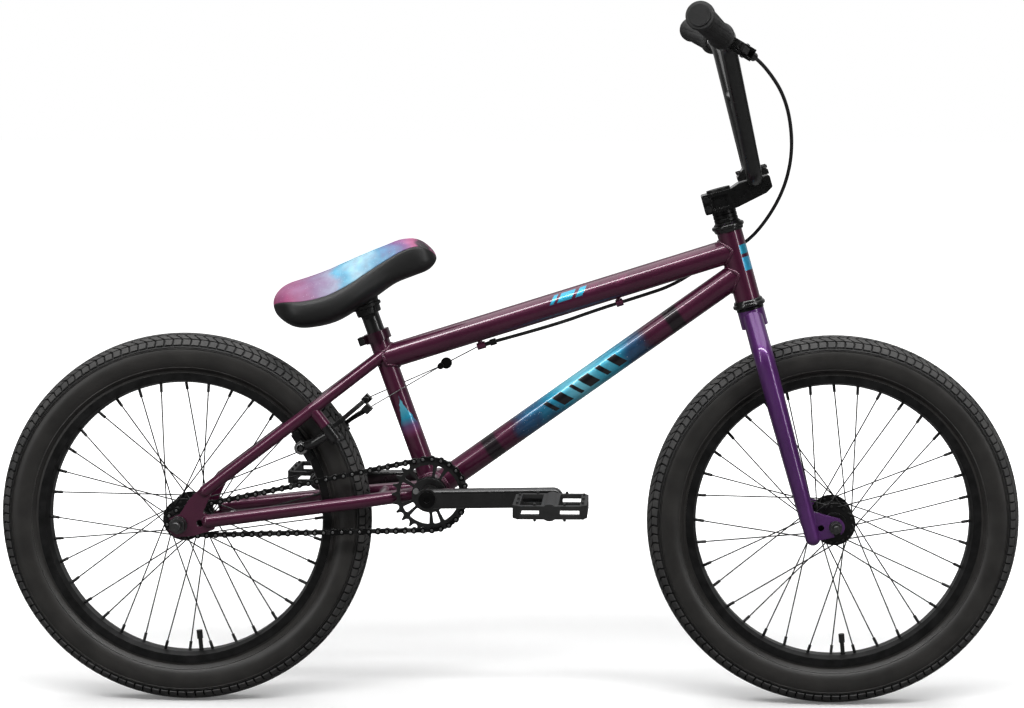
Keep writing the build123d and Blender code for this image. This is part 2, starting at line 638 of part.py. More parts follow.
def make_wheel(name, centre, flange_y, shell_ends, axle_radius):
    """Write every piece of one wheel that turns with its hub."""
    turns = [SPOKE_REPEAT * number for number in range(SPOKES_PER_FLANGE // 2)]
    spoke_pieces = []
    nipple_planes = []
    hole_planes = []
    for flange, y in enumerate(flange_y):
        for lean in (-1, 1):
            route = spoke_route(centre, y, flange, lean)
            way = (route[-1] - route[-2]).normalized()
            grip_start = route[-1] - way * (NIPPLE_LENGTH - 4)
            with BuildPart() as spoke:
                bent_tube(route[:-1] + [grip_start], [1.3, 12.0][:len(route) - 2], SPOKE_RADIUS)
                bar(route[0] - Y_AXIS * lean * 0.9, route[0], SPOKE_RADIUS * 1.9)
            with BuildPart() as nipple:
                bar(grip_start, grip_start + way * NIPPLE_LENGTH, NIPPLE_RADIUS)
            for turn in turns:
                spoke_pieces.append(spoke.part.rotate(wheel_axis(centre), turn))
                spoke_pieces.append(nipple.part.rotate(wheel_axis(centre), turn))
                turned = Location(centre) * Location((0, 0, 0), (0, turn, 0)) * Location(centre * -1)
                nipple_planes.append(turned * Location(Plane(origin=route[-1] - way * 6, z_dir=way)))
                hole_planes.append(turned * Location(Plane(origin=sideways(route[1], y), z_dir=Y_AXIS)))
    save_group(spoke_pieces, f"{name}_spokes")

    valve_way = Vector(math.cos(math.radians(275)), 0, math.sin(math.radians(275)))
    with BuildPart() as rim:
        add(rim_solid(centre))
        with Locations(*nipple_planes):
            Cylinder(NIPPLE_RADIUS + 0.1, 18, align=CENTRED_BASE, mode=Mode.SUBTRACT)
        bar(centre + valve_way * 180, centre + valve_way * 206, 4.1, mode=Mode.SUBTRACT)
    save(rim.part, f"{name}_rim")

    with BuildPart() as valve:
        bar(centre + valve_way * 172, centre + valve_way * 204, 3.0)
        bar(centre + valve_way * 166, centre + valve_way * 178, 4.2)
        bar(centre + valve_way * 196, centre + valve_way * 204, 4.0)
        bar(centre + valve_way * 204, centre + valve_way * 207, 8.0)
    save(valve.part, f"{name}_valve")

    with BuildPart() as tyre:
        add(tyre_solid(centre))
    save(tyre.part, f"{name}_tyre")

    low, high = shell_ends
    bearing_width = 9.0
    bearing_radius = HUB_SHELL_RADIUS - 3.0
    middle = (flange_y[0] + flange_y[1]) / 2
    with BuildPart() as hub:
        bar(sideways(centre, low), sideways(centre, high), HUB_SHELL_RADIUS)
        for y in flange_y:
            away = 1 if y > middle else -1
            thin = HUB_FLANGE_THICKNESS / 2
            bar(sideways(centre, y - thin), sideways(centre, y + thin),
                HUB_FLANGE_RADIUS)
            taper(sideways(centre, y), sideways(centre, y - away * 8), HUB_SHELL_RADIUS + 5,
                  HUB_SHELL_RADIUS)
        bar(sideways(centre, low - 1), sideways(centre, high + 1), axle_radius + 3, mode=Mode.SUBTRACT)
        bar(sideways(centre, low - 1), sideways(centre, low + bearing_width), bearing_radius,
            mode=Mode.SUBTRACT)
        bar(sideways(centre, high - bearing_width), sideways(centre, high + 1), bearing_radius,
            mode=Mode.SUBTRACT)
        with Locations(*hole_planes):
            Cylinder(SPOKE_RADIUS + 0.1, HUB_FLANGE_THICKNESS + 4, mode=Mode.SUBTRACT)
    with BuildPart() as bearings:
        bore = axle_radius + SPIN_CLEARANCE
        bar(sideways(centre, low), sideways(centre, low + bearing_width), bearing_radius, bore)
        bar(sideways(centre, high - bearing_width), sideways(centre, high), bearing_radius, bore)
    save_group([hub.part, bearings.part], f"{name}_hub")


front_shell_half = FRONT_HUB_WIDTH / 2 - 9.0
make_wheel("front", front_axle, (-32.0, 32.0), (-front_shell_half, front_shell_half), FRONT_AXLE_RADIUS)
driver_inner = -28.0
rear_shell_left = REAR_HUB_WIDTH / 2 - 9.0
make_wheel("rear", rear_axle, (-22.0, 33.0), (driver_inner, rear_shell_left), REAR_AXLE_RADIUS)


def make_axle(name, centre, radius, hub_width, end, cones, seat, across_flats, nut_height):
    """Write an axle with its cones, and a washer and a nut on each end, tight on the dropouts.

    end is how far the axle stands out past the hub's width. cones gives the cones' radius and
    their inner faces; seat is the outer face of a dropout.
    """
    half = hub_width / 2
    cone_radius, low, high = cones
    root = radius - THREAD_DEPTH
    free_end = seat + WASHER_THICKNESS + nut_height + THREAD_RUNOUT
    with BuildPart() as axle:
        bar(sideways(centre, -seat), sideways(centre, seat), radius)
        bar(sideways(centre, -free_end), sideways(centre, free_end), root)
        for side in (-1, 1):
            bar(sideways(centre, side * free_end), sideways(centre, side * (half + end)), radius)
        bar(sideways(centre, -half), sideways(centre, low), cone_radius)
        bar(sideways(centre, high), sideways(centre, half), cone_radius)
        chamfer(axle.faces().sort_by(Axis.Y)[0].edges(), radius * 0.15)
        chamfer(axle.faces().sort_by(Axis.Y)[-1].edges(), radius * 0.15)
    with BuildPart() as nuts:
        for side in (-1, 1):
            face = sideways(centre, side * seat)
            out = Y_AXIS * side
            top = WASHER_THICKNESS + nut_height
            bar(face, face + out * WASHER_THICKNESS, across_flats * 0.62)
            hexagon_bar(face + out * WASHER_THICKNESS, face + out * top, across_flats)
            bar(face - out, face + out * (top + 1), root, mode=Mode.SUBTRACT)
    save_group([axle.part, nuts.part], name)


cone_face = front_shell_half + RUNNING_GAP
fork_plate = 6.0
front_cones = (7.5, -cone_face, cone_face)
make_axle("front_axle", front_axle, FRONT_AXLE_RADIUS, FRONT_HUB_WIDTH, FRONT_AXLE_END, front_cones,
          FRONT_HUB_WIDTH / 2 + fork_plate, 15.0, 8.0)
driver_outer = -50.5
rear_cones = (10.0, driver_outer - RUNNING_GAP, rear_shell_left + RUNNING_GAP)
make_axle("rear_axle", rear_axle, REAR_AXLE_RADIUS, REAR_HUB_WIDTH, REAR_AXLE_END, rear_cones,
          dropout_outer, 20.0, 9.0)

# ---------------------------------------------------------------- toothed wheels and chain
FLANK_ANGLE = math.radians(26.0)


def toothed_disc(teeth, pitch_radius, height, clearance):
    """A flat toothed wheel in the open sketch: a disc with a rounded valley at each roller."""
    seat = ROLLER_RADIUS + clearance
    Circle(pitch_radius + height)
    low = (-seat * math.sin(FLANK_ANGLE), seat * math.cos(FLANK_ANGLE))
    reach = 14.0
    high = (low[0] + reach * math.cos(FLANK_ANGLE), low[1] + reach * math.sin(FLANK_ANGLE))
    with PolarLocations(pitch_radius, teeth, start_angle=180.0 / teeth):
        Circle(seat, mode=Mode.SUBTRACT)
        Polygon(low, (low[0], -low[1]), (high[0], -high[1]), high, align=None, mode=Mode.SUBTRACT)


chain_side = Vector(0, -CHAIN_LINE, 0)


def chain_plane(centre, y):
    """A plane square to the axles, its first direction from driver to sprocket."""
    return Plane(origin=sideways(centre, y), x_dir=stay_way, z_dir=(0, -1, 0))


tooth_inner = -CHAIN_LINE + TOOTH_THICKNESS / 2
with BuildPart() as driver:
    tooth_plane = Plane(origin=sideways(rear_axle, tooth_inner), x_dir=stay_way * -1, z_dir=-Y_AXIS)
    with BuildSketch(tooth_plane) as ring:
        with Locations(Rotation(0, 0, 180.0 / DRIVER_TEETH)):
            toothed_disc(DRIVER_TEETH, driver_pitch_radius, DRIVER_TOOTH_HEIGHT, DRIVER_CLEARANCE)
    extrude(ring.sketch, amount=TOOTH_THICKNESS)
    body_radius = driver_pitch_radius - ROLLER_RADIUS - 1.2
    bar(sideways(rear_axle, driver_inner - RUNNING_GAP), sideways(rear_axle, driver_outer), body_radius)
    bar(sideways(rear_axle, driver_inner), sideways(rear_axle, driver_outer - 1),
        REAR_AXLE_RADIUS + SPIN_CLEARANCE, mode=Mode.SUBTRACT)
save(driver.part, "driver")

SPROCKET_HUB_RADIUS = 24.0
sprocket_hub_outer = -52.5
WINDOW_INNER = 25.5
WINDOW_OUTER = 42.0


def sector_window(start, end):
    """A window between two radii and two angles, cut from the open sketch with round corners."""
    with BuildSketch(mode=Mode.PRIVATE) as window:
        with BuildLine():
            arc_in = CenterArc((0, 0), WINDOW_INNER, start, end - start)
            arc_out = CenterArc((0, 0), WINDOW_OUTER, start, end - start)
            Line(arc_in @ 0, arc_out @ 0)
            Line(arc_in @ 1, arc_out @ 1)
        make_face()
        fillet(window.vertices(), 2.2)
    return window.sketch


sprocket_windows = []
for turn in range(5):
    first = 72 * turn + 4
    sprocket_windows.append(sector_window(first, first + 42))
    sprocket_windows.append(sector_window(first + 50, first + 64))
bolt_angle = math.radians(162)
bolt_place = Vector(19.6 * math.cos(bolt_angle), 0, 19.6 * math.sin(bolt_angle))
with BuildPart() as sprocket:
    with BuildSketch(chain_plane(bb, tooth_inner)) as blank:
        toothed_disc(SPROCKET_TEETH, sprocket_pitch_radius, TOOTH_HEIGHT, SPROCKET_CLEARANCE)
        add(sprocket_windows, mode=Mode.SUBTRACT)
    extrude(blank.sketch, amount=TOOTH_THICKNESS)
    bar(sideways(bb, tooth_inner), sideways(bb, sprocket_hub_outer), SPROCKET_HUB_RADIUS)
    bar(sideways(bb, 0), sideways(bb, -60), SPINDLE_RADIUS, mode=Mode.SUBTRACT)
    bar(sideways(bb, 0) + bolt_place, sideways(bb, -60) + bolt_place, 2.5, mode=Mode.SUBTRACT)
save(sprocket.part, "sprocket")

with BuildPart() as sprocket_bolt:
    bar(sideways(bb, tooth_inner) + bolt_place, sideways(bb, sprocket_hub_outer) + bolt_place, 2.5)
    bar(sideways(bb, sprocket_hub_outer) + bolt_place, sideways(bb, sprocket_hub_outer - 4) + bolt_place, 4.0)


def chain_joints():
    """The middle of every chain pin, from the top of the sprocket round to the top run's front end."""
    joints = []
    for step in range(SPROCKET_WRAP + 1):
        angle = sprocket_half_wrap - step * 2 * math.pi / SPROCKET_TEETH
        joints.append(bb + (stay_way * math.cos(angle) + stay_up * math.sin(angle)) * sprocket_pitch_radius)
    for step in range(DRIVER_WRAP + 1):
        angle = math.pi + driver_half_wrap - step * 2 * math.pi / DRIVER_TEETH
        way = stay_way * math.cos(angle) + stay_up * math.sin(angle)
        joints.append(rear_axle + way * driver_pitch_radius)
    lower_front = joints[SPROCKET_WRAP]
    lower_rear = joints[SPROCKET_WRAP + 1]
    upper_rear = joints[-1]
    lower_run = [lower_front + (lower_rear - lower_front) * (n / CHAIN_SPAN) for n in range(1, CHAIN_SPAN)]
    upper_run = [upper_rear + (joints[0] - upper_rear) * (n / CHAIN_SPAN) for n in range(1, CHAIN_SPAN)]
    return joints[:SPROCKET_WRAP + 1] + lower_run + joints[SPROCKET_WRAP + 1:] + upper_run


inner_face = ROLLER_LENGTH / 2
outer_face = inner_face + PLATE_THICKNESS + 0.1


def link_plate(face, ends=(0.0, CHAIN_PITCH)):
    """Both side plates of a link, waisted between its round ends; face is their inner distance."""
    with BuildSketch() as plate:
        with Locations((ends[0], 0), (ends[1], 0)):
            Circle(PLATE_RADIUS)
        with Locations(((ends[0] + ends[1]) / 2, 0)):
            Rectangle(ends[1] - ends[0], PLATE_RADIUS * 1.3)
    for side in (-1, 1):
        start = face if side > 0 else -face - PLATE_THICKNESS
        extrude(plate.sketch.moved(Location((0, 0, start))), amount=PLATE_THICKNESS)


with BuildPart() as inner_link:
    link_plate(inner_face)
    with Locations((0, 0), (CHAIN_PITCH, 0)):
        Cylinder(ROLLER_RADIUS, ROLLER_LENGTH)
        Cylinder(PIN_RADIUS + SPIN_CLEARANCE, 12, mode=Mode.SUBTRACT)

pin_length = 2 * (outer_face + PLATE_THICKNESS) + 1.0
with BuildPart() as outer_link:
    link_plate(outer_face)
    with Locations((0, 0), (CHAIN_PITCH, 0)):
        Cylinder(PIN_RADIUS, pin_length)

with BuildPart() as half_link:
    link_plate(inner_face, (0.0, CHAIN_PITCH / 2 - 1))
    link_plate(outer_face, (CHAIN_PITCH / 2 + 1, CHAIN_PITCH))
    for side in (-1, 1):
        with Locations((CHAIN_PITCH / 2, 0, side * (inner_face + outer_face + PLATE_THICKNESS) / 2)):
            Box(3.2, PLATE_RADIUS * 1.3, outer_face + PLATE_THICKNESS - inner_face)
    Cylinder(ROLLER_RADIUS, ROLLER_LENGTH)
    Cylinder(PIN_RADIUS + SPIN_CLEARANCE, 12, mode=Mode.SUBTRACT)
    for side in (-1, 1):
        with Locations((CHAIN_PITCH, 0, side * inner_face)):
            Cylinder(PLATE_RADIUS + 0.3, 2 * (outer_face - inner_face) + 0.001, mode=Mode.SUBTRACT)
        with Locations((0, 0, side * (outer_face + PLATE_THICKNESS / 2))):
            Cylinder(PLATE_RADIUS + 0.3, PLATE_THICKNESS + 0.1, mode=Mode.SUBTRACT)
    with Locations((CHAIN_PITCH, 0)):
        Cylinder(PIN_RADIUS, pin_length)

joints = chain_joints()
half_link_at = 24               # how many pins along the chain the half link stands
joints = joints[half_link_at:] + joints[:half_link_at]
link_planes = []
for number, start in enumerate(joints):
    end = joints[(number + 1) % len(joints)]
    link_planes.append(Plane(origin=start + chain_side, x_dir=end - start, z_dir=(0, -1, 0)))

with BuildPart() as chain_inner_links:
    with Locations(*link_planes[0:-1:2]):
        add(inner_link.part, clean=False)
save(chain_inner_links.part, "chain_inner_links")

with BuildPart() as chain_outer_links:
    with Locations(*link_planes[1:-1:2]):
        add(outer_link.part, clean=False)
with BuildPart() as chain_half_link:
    with Locations(link_planes[-1]):
        add(half_link.part)
save_group([chain_outer_links.part, chain_half_link.part], "chain_outer_links")

# ---------------------------------------------------------------- cranks and pedals
crank_outer = CRANK_OFFSET + CRANK_THICKNESS
CRANK_TILT = math.radians(1.0)
crank_way = Vector(math.cos(CRANK_TILT), 0, math.sin(CRANK_TILT))
CRANK_BOSS_RADIUS = 15.0
PEDAL_AXLE_RADIUS = 7.0
pedal_centres = {"right": bb + crank_way * CRANK_LENGTH, "left": bb - crank_way * CRANK_LENGTH}

with BuildPart() as crank_spindle:
    bar(sideways(bb, -crank_outer), sideways(bb, crank_outer), SPINDLE_RADIUS)
with BuildPart() as bb_spacer:
    inner_end = BB_SHELL_WIDTH / 2 - BB_BEARING_WIDTH - RUNNING_GAP
    bar(sideways(bb, -inner_end), sideways(bb, inner_end), SPINDLE_RADIUS + 2.5, SPINDLE_RADIUS)
with BuildPart() as spindle_spacers:
    outer_end = sprocket_hub_outer * -1
    face = BB_SHELL_WIDTH / 2 + RUNNING_GAP
    bar(sideways(bb, -CHAIN_LINE + TOOTH_THICKNESS / 2), sideways(bb, -face), 14.0, SPINDLE_RADIUS)
    bar(sideways(bb, face), sideways(bb, outer_end), 14.0, SPINDLE_RADIUS)
save_group([crank_spindle.part, bb_spacer.part, spindle_spacers.part], "crank_spindle")

for name, side, way in (("right", -1, crank_way), ("left", 1, crank_way * -1)):
    out = Y_AXIS * side
    pedal_centre = pedal_centres[name]
    with BuildPart() as crank_arm:
        with BuildSketch(Plane(origin=bb + out * CRANK_OFFSET, x_dir=way, z_dir=out)) as outline:
            with Locations((CRANK_LENGTH / 2, 0)):
                SlotCenterToCenter(CRANK_LENGTH, CRANK_WIDTH)
        extrude(outline.sketch, amount=CRANK_THICKNESS)
        fillet(crank_arm.edges().filter_by(GeomType.LINE).filter_by(Axis(bb, way)), 5.5)
        bar(bb + out * -sprocket_hub_outer, bb + out * crank_outer, CRANK_BOSS_RADIUS)
        bar(bb, bb + out * (crank_outer + 1), SPINDLE_RADIUS, mode=Mode.SUBTRACT)
        bar(pedal_centre, pedal_centre + out * (crank_outer + 1), PEDAL_AXLE_RADIUS, mode=Mode.SUBTRACT)
    save(crank_arm.part, f"crank_arm_{name}")

with BuildPart() as crank_bolts:
    for side in (-1, 1):
        out = Y_AXIS * side
        bar(bb + out * crank_outer, bb + out * (crank_outer + 4), 11.5)
        hexagon_bar(bb + out * (crank_outer + 1.5), bb + out * (crank_outer + 4), 8.0, mode=Mode.SUBTRACT)
save_group([crank_bolts.part, sprocket_bolt.part], "crank_bolts")

pedal_inner = crank_outer + PEDAL_GAP
PEDAL_BOSS_RADIUS = 11.5
pedal_axle_end = pedal_inner + PEDAL_WIDTH - 8
with BuildPart() as pedal_axles:
    for name, side in (("right", -1), ("left", 1)):
        out = Y_AXIS * side
        centre = pedal_centres[name]
        bar(centre + out * CRANK_OFFSET, centre + out * crank_outer, PEDAL_AXLE_RADIUS)
        bar(centre + out * crank_outer, centre + out * (pedal_inner - RUNNING_GAP), 8.5)
        bar(centre + out * (pedal_inner - RUNNING_GAP), centre + out * pedal_axle_end, 5.0)
save(pedal_axles.part, "pedal_axles")

RAIL = 8.0
for name, side in (("right", -1), ("left", 1)):
    out = Y_AXIS * side
    centre = pedal_centres[name]
    platform = centre + out * (pedal_inner + PEDAL_WIDTH / 2)
    with BuildPart() as pedal:
        with BuildSketch(Plane(origin=platform - Vector(0, 0, PEDAL_HEIGHT / 2))) as plan:
            Rectangle(PEDAL_LENGTH, PEDAL_WIDTH)
            chamfer(plan.vertices(), 9)
            with Locations((PEDAL_LENGTH / 4 + 1, 0), (-PEDAL_LENGTH / 4 - 1, 0)):
                Rectangle(PEDAL_LENGTH / 2 - RAIL - 13, PEDAL_WIDTH - 2 * RAIL, mode=Mode.SUBTRACT)
        extrude(plan.sketch, amount=PEDAL_HEIGHT)
        bar(centre + out * pedal_inner, centre + out * (pedal_inner + PEDAL_WIDTH), PEDAL_BOSS_RADIUS)
        beside = Vector(PEDAL_LENGTH / 4 + 2, 0, 0)
        with Locations(platform + beside, platform - beside):
            Box(26, PEDAL_WIDTH + 2, 6, mode=Mode.SUBTRACT)
        for end in (-1, 1):
            for x, y in ((44, -30), (44, 0), (44, 30), (20, -43), (20, 43)):
                for flip in (-1, 1):
                    foot = platform + Vector(flip * x, y, end * PEDAL_HEIGHT / 2)
                    bar(foot - Vector(0, 0, end), foot + Vector(0, 0, end * 3.2), 1.9)
        bar(centre, centre + out * (pedal_axle_end + RUNNING_GAP), 5.0 + SPIN_CLEARANCE, mode=Mode.SUBTRACT)
    save(pedal.part, f"pedal_{name}")

# ---------------------------------------------------------------- fork
LEG_END_Y = 57.0
LEG_TOP_Y = 58.0
leg_bend = TYRE_RADIUS - 4.0
crown_base = leg_bend + 36.0
fork_dropout_inner = FRONT_HUB_WIDTH / 2
fork_dropout_outer = fork_dropout_inner + fork_plate


def fork_plate_piece(side):
    """A fork dropout: a plate from the leg's end forward to the axle, with a window."""
    leg_back = FORK_OFFSET + 8
    with BuildSketch(Plane(origin=front_axle, x_dir=steer_ahead, z_dir=(0, -1, 0))) as outline:
        with BuildSketch(mode=Mode.PRIVATE) as rounds:
            Circle(13.0)
            with Locations((-leg_back + 6, 32), (-leg_back + 4, -8), (-leg_back + 12, -8)):
                Circle(4.0)
        make_hull(rounds.sketch.edges())
        Circle(FRONT_AXLE_RADIUS + 0.1, mode=Mode.SUBTRACT)
        Rectangle(2 * FRONT_AXLE_RADIUS + 0.2, 30, align=(Align.CENTER, Align.MAX), mode=Mode.SUBTRACT)
        with Locations((-20, 4)):
            Circle(4.5, mode=Mode.SUBTRACT)
    with BuildPart() as plate:
        extrude(outline.sketch, amount=fork_plate)
    offset = fork_dropout_outer if side > 0 else -fork_dropout_inner
    return plate.part.moved(Location((0, offset, 0)))


fork_plates = [fork_plate_piece(side) for side in (-1, 1)]
with BuildPart() as fork_dropouts:
    add(fork_plates)
save(fork_dropouts.part, "fork_dropouts")

with BuildPart() as fork_steerer:
    bar(on_steerer(crown_base), on_steerer(crown_top), 19.0)
    bar(on_steerer(crown_top), on_steerer(steerer_top), STEERER_RADIUS)
    bar(on_steerer(crown_base - 1), on_steerer(steerer_top + 1), STEERER_RADIUS - 2.2, mode=Mode.SUBTRACT)
save(fork_steerer.part, "fork_steerer")

leg_foot = on_steerer(-6, 0, LEG_END_Y)
leg_knee = on_steerer(leg_bend, 0, LEG_TOP_Y)
leg_head = on_steerer(crown_base + 14, 0, 14)
straight_end = leg_foot + (leg_knee - leg_foot) * 0.88
with BuildPart() as fork_legs:
    taper(leg_foot, straight_end, FORK_LEG_END_RADIUS, FORK_LEG_TOP_RADIUS)
    with Locations(leg_foot):
        Sphere(FORK_LEG_END_RADIUS)
    bent_tube([straight_end, leg_knee, leg_head], 34, FORK_LEG_TOP_RADIUS)
    bar(on_steerer(crown_base - 40), on_steerer(crown_top + 40), 19.0, mode=Mode.SUBTRACT)
    add(fork_plates, mode=Mode.SUBTRACT)
leg_piece = largest_solids(fork_legs.part, 1)[0]
save_group([leg_piece, leg_piece.mirror(Plane.XZ)], "fork_legs")

with BuildPart() as crown_race:
    bar(on_steerer(crown_top), on_steerer(crown_top + CROWN_RACE_HEIGHT), 19.5, STEERER_RADIUS)

with BuildPart() as headset_cover:
    taper(on_steerer(cover_base), on_steerer(cover_top), CUP_RADIUS - 1, SPACER_RADIUS)
    bar(on_steerer(cover_base - 1), on_steerer(cover_top + 1), STEERER_RADIUS, mode=Mode.SUBTRACT)

spacers = []
for number in range(SPACER_COUNT):
    low = cover_top + number * SPACER_HEIGHT
    with BuildPart() as spacer:
        bar(on_steerer(low), on_steerer(low + SPACER_HEIGHT), SPACER_RADIUS)
        chamfer(spacer.edges(), 0.8)
        bar(on_steerer(low), on_steerer(low + SPACER_HEIGHT), STEERER_RADIUS, mode=Mode.SUBTRACT)
    spacers.append(spacer.part)
save_group([crown_race.part, headset_cover.part, *spacers], "headset_spacers")

# ---------------------------------------------------------------- stem
stem_plane = Plane(origin=on_steerer(stem_middle), x_dir=steer_ahead, z_dir=(0, -1, 0))
half_stack = STEM_STACK / 2
clamp_front = STEM_REACH + 22
with BuildPart() as stem_body:
    with BuildSketch(stem_plane) as profile:
        Polygon(
            (-26, -half_stack), (20, -half_stack), (STEM_REACH + 12, STEM_RISE - 24),
            (clamp_front, STEM_RISE - 18), (clamp_front, STEM_RISE - 1), (STEM_REACH - 22, STEM_RISE - 1),
            (18, half_stack), (-26, half_stack), align=None,
        )
        fillet(profile.vertices(), 2.5)
    extrude(profile.sketch, amount=STEM_WIDTH / 2, both=True)
    bar(on_steerer(stem_base - 1), on_steerer(stem_top + 20), STEERER_RADIUS, mode=Mode.SUBTRACT)
    bar(clamp_centre - Y_AXIS * 40, clamp_centre + Y_AXIS * 40, BAR_RADIUS + SPIN_CLEARANCE,
        mode=Mode.SUBTRACT)
    with Locations(Plane(origin=on_steerer(stem_middle, -22), x_dir=steer_ahead, z_dir=steer_up)):
        Box(24, 2.0, STEM_STACK + 2, mode=Mode.SUBTRACT)
    for side in (-1, 1):
        pocket = on_steerer(stem_middle, -2, side * 25)
        with Locations(Plane(origin=pocket, x_dir=steer_ahead, z_dir=steer_up)):
            Box(24, 8, STEM_STACK - 10, mode=Mode.SUBTRACT)

CAP_HEIGHT = 16.0
with BuildPart() as stem_cap:
    with BuildSketch(stem_plane) as profile:
        Polygon(
            (STEM_REACH - 22, STEM_RISE + 1), (clamp_front, STEM_RISE + 1), (clamp_front, STEM_RISE + 7),
            (STEM_REACH + 12, STEM_RISE + CAP_HEIGHT), (STEM_REACH - 12, STEM_RISE + CAP_HEIGHT),
            (STEM_REACH - 22, STEM_RISE + 7), align=None,
        )
    extrude(profile.sketch, amount=STEM_WIDTH / 2, both=True)
    bar(clamp_centre - Y_AXIS * 40, clamp_centre + Y_AXIS * 40, BAR_RADIUS + SPIN_CLEARANCE,
        mode=Mode.SUBTRACT)
save_group([stem_body.part, stem_cap.part], "stem")

with BuildPart() as stem_bolts:
    for ahead in (STEM_REACH - 17.5, STEM_REACH + 17.5):
        for y in (-17, 17):
            top = on_steerer(stem_middle + STEM_RISE + 9.6, ahead, y)
            bar(top, top + steer_up * 4, 4.6)
    for height in (-7.0, 7.0):
        head = on_steerer(stem_middle + height, -20.5, -STEM_WIDTH / 2)
        bar(head, head - Y_AXIS * 3.5, 4.6)
        bar(head + Y_AXIS * STEM_WIDTH, head + Y_AXIS * (STEM_WIDTH + 3.5), 4.6)
    add(stem_cap.part, mode=Mode.SUBTRACT)

with BuildPart() as top_cap:
    bar(on_steerer(stem_top), on_steerer(stem_top + 3.5), 17.0)
    bar(on_steerer(steerer_top), on_steerer(stem_top), STEERER_RADIUS - 2.4)
    hexagon_bar(on_steerer(stem_top + 1), on_steerer(stem_top + 3.5), 6.0, mode=Mode.SUBTRACT)
    add(stem_cap.part, mode=Mode.SUBTRACT)
    add(stem_body.part, mode=Mode.SUBTRACT)
save_group([stem_bolts.part, largest_solids(top_cap.part, 1)[0]], "stem_bolts")

# ---------------------------------------------------------------- handlebar
def bar_side(side):
    """The corners of one half of the handlebar, from the clamp out to the grip's end."""
    knee = clamp_centre + Vector(BAR_LEAN, side * KNEE_HALF_WIDTH, BAR_RISE)
    end = clamp_centre + Vector(BAR_LEAN + GRIP_SWEEP, side * BAR_HALF_WIDTH, BAR_RISE + GRIP_LIFT)
    return [clamp_centre + Y_AXIS * side * BAR_CENTRE_HALF, knee, end]


right_side = bar_side(-1)
left_side = bar_side(1)
with BuildPart() as handlebar:
    bent_tube(right_side[::-1] + left_side, BEND_RADIUS, BAR_RADIUS, BAR_RADIUS - BAR_WALL)
save(handlebar.part, "handlebar")

brace_right = right_side[0] + (right_side[1] - right_side[0]) * CROSSBAR_SHARE
brace_left = mirrored(brace_right)
with BuildPart() as crossbar:
    bar(brace_right, brace_left, CROSSBAR_RADIUS)
    for low, high in ((right_side[0], right_side[1]), (left_side[0], left_side[1])):
        bar(low, high, BAR_RADIUS, mode=Mode.SUBTRACT)
save(largest_solids(crossbar.part, 1)[0], "handlebar_crossbar")

grip_way = {side: (half[2] - half[1]).normalized() for side, half in ((-1, right_side), (1, left_side))}
bar_end = {-1: right_side[2], 1: left_side[2]}
with BuildPart() as grips:
    for side in (-1, 1):
        inner_end = bar_end[side] - grip_way[side] * GRIP_LENGTH
        bar(inner_end, bar_end[side], GRIP_RADIUS, BAR_RADIUS)
        bar(inner_end, inner_end + grip_way[side] * 4, GRIP_RADIUS + 1, GRIP_RADIUS - 2)
save(grips.part, "grips")

with BuildPart() as bar_end_plugs:
    for side in (-1, 1):
        bar(bar_end[side] - grip_way[side] * 18, bar_end[side], BAR_RADIUS - BAR_WALL - SPIN_CLEARANCE)
        bar(bar_end[side], bar_end[side] + grip_way[side] * 2.5, 14.0)
save(bar_end_plugs.part, "bar_end_plugs")

# ---------------------------------------------------------------- brake lever
lever_out = Vector(0.86, 0, -0.51).normalized()
lever_axis = Vector(0.51, 0, 0.86).normalized()
grip_right = grip_way[-1]
perch_centre = right_side[2] - grip_right * (GRIP_LENGTH + 9)
lever_pivot = perch_centre + lever_out * LEVER_REACH * 0.72
barrel_way = Vector(0.5, 0.8, -0.33).normalized()
barrel_foot = perch_centre + lever_out * (LEVER_REACH - 4) + Y_AXIS * 10
LEVER_THICKNESS = 8.0

with BuildPart() as lever_perch:
    bar(perch_centre - grip_right * 7, perch_centre + grip_right * 7, BAR_RADIUS + 5)
    perch_arm = perch_centre + lever_out * LEVER_REACH / 2 + Y_AXIS * 4
    with Locations(Plane(origin=perch_arm, x_dir=lever_out, z_dir=lever_axis)):
        Box(LEVER_REACH, 16, 17)
    bar(barrel_foot - barrel_way * 6, barrel_foot + barrel_way * 10, 6.0)
    clamp_bore = BAR_RADIUS + SPIN_CLEARANCE
    bar(perch_centre - grip_right * 20, perch_centre + grip_right * 20, clamp_bore, mode=Mode.SUBTRACT)
    with Locations(Plane(origin=lever_pivot - Y_AXIS * 4, x_dir=lever_out, z_dir=lever_axis)):
        Box(24, 26, LEVER_THICKNESS + 0.6, mode=Mode.SUBTRACT)
    bar(lever_pivot - lever_axis * 12, lever_pivot + lever_axis * 12, 2.5, mode=Mode.SUBTRACT)
    bar(barrel_foot - barrel_way * 12, barrel_foot + barrel_way * 11, 1.2, mode=Mode.SUBTRACT)
save(lever_perch.part, "lever_perch")

with BuildPart() as lever_pin:
    bar(lever_pivot - lever_axis * 10, lever_pivot + lever_axis * 10, 2.5)

with BuildPart() as perch_screw:
    screw = perch_centre - lever_out * 11 - lever_axis * 14
    bar(screw - grip_right * 8, screw + grip_right * 4, 3.0)
    add(lever_perch.part, mode=Mode.SUBTRACT)
    add(handlebar.part, mode=Mode.SUBTRACT)
save_group([lever_pin.part, perch_screw.part], "lever_screws")

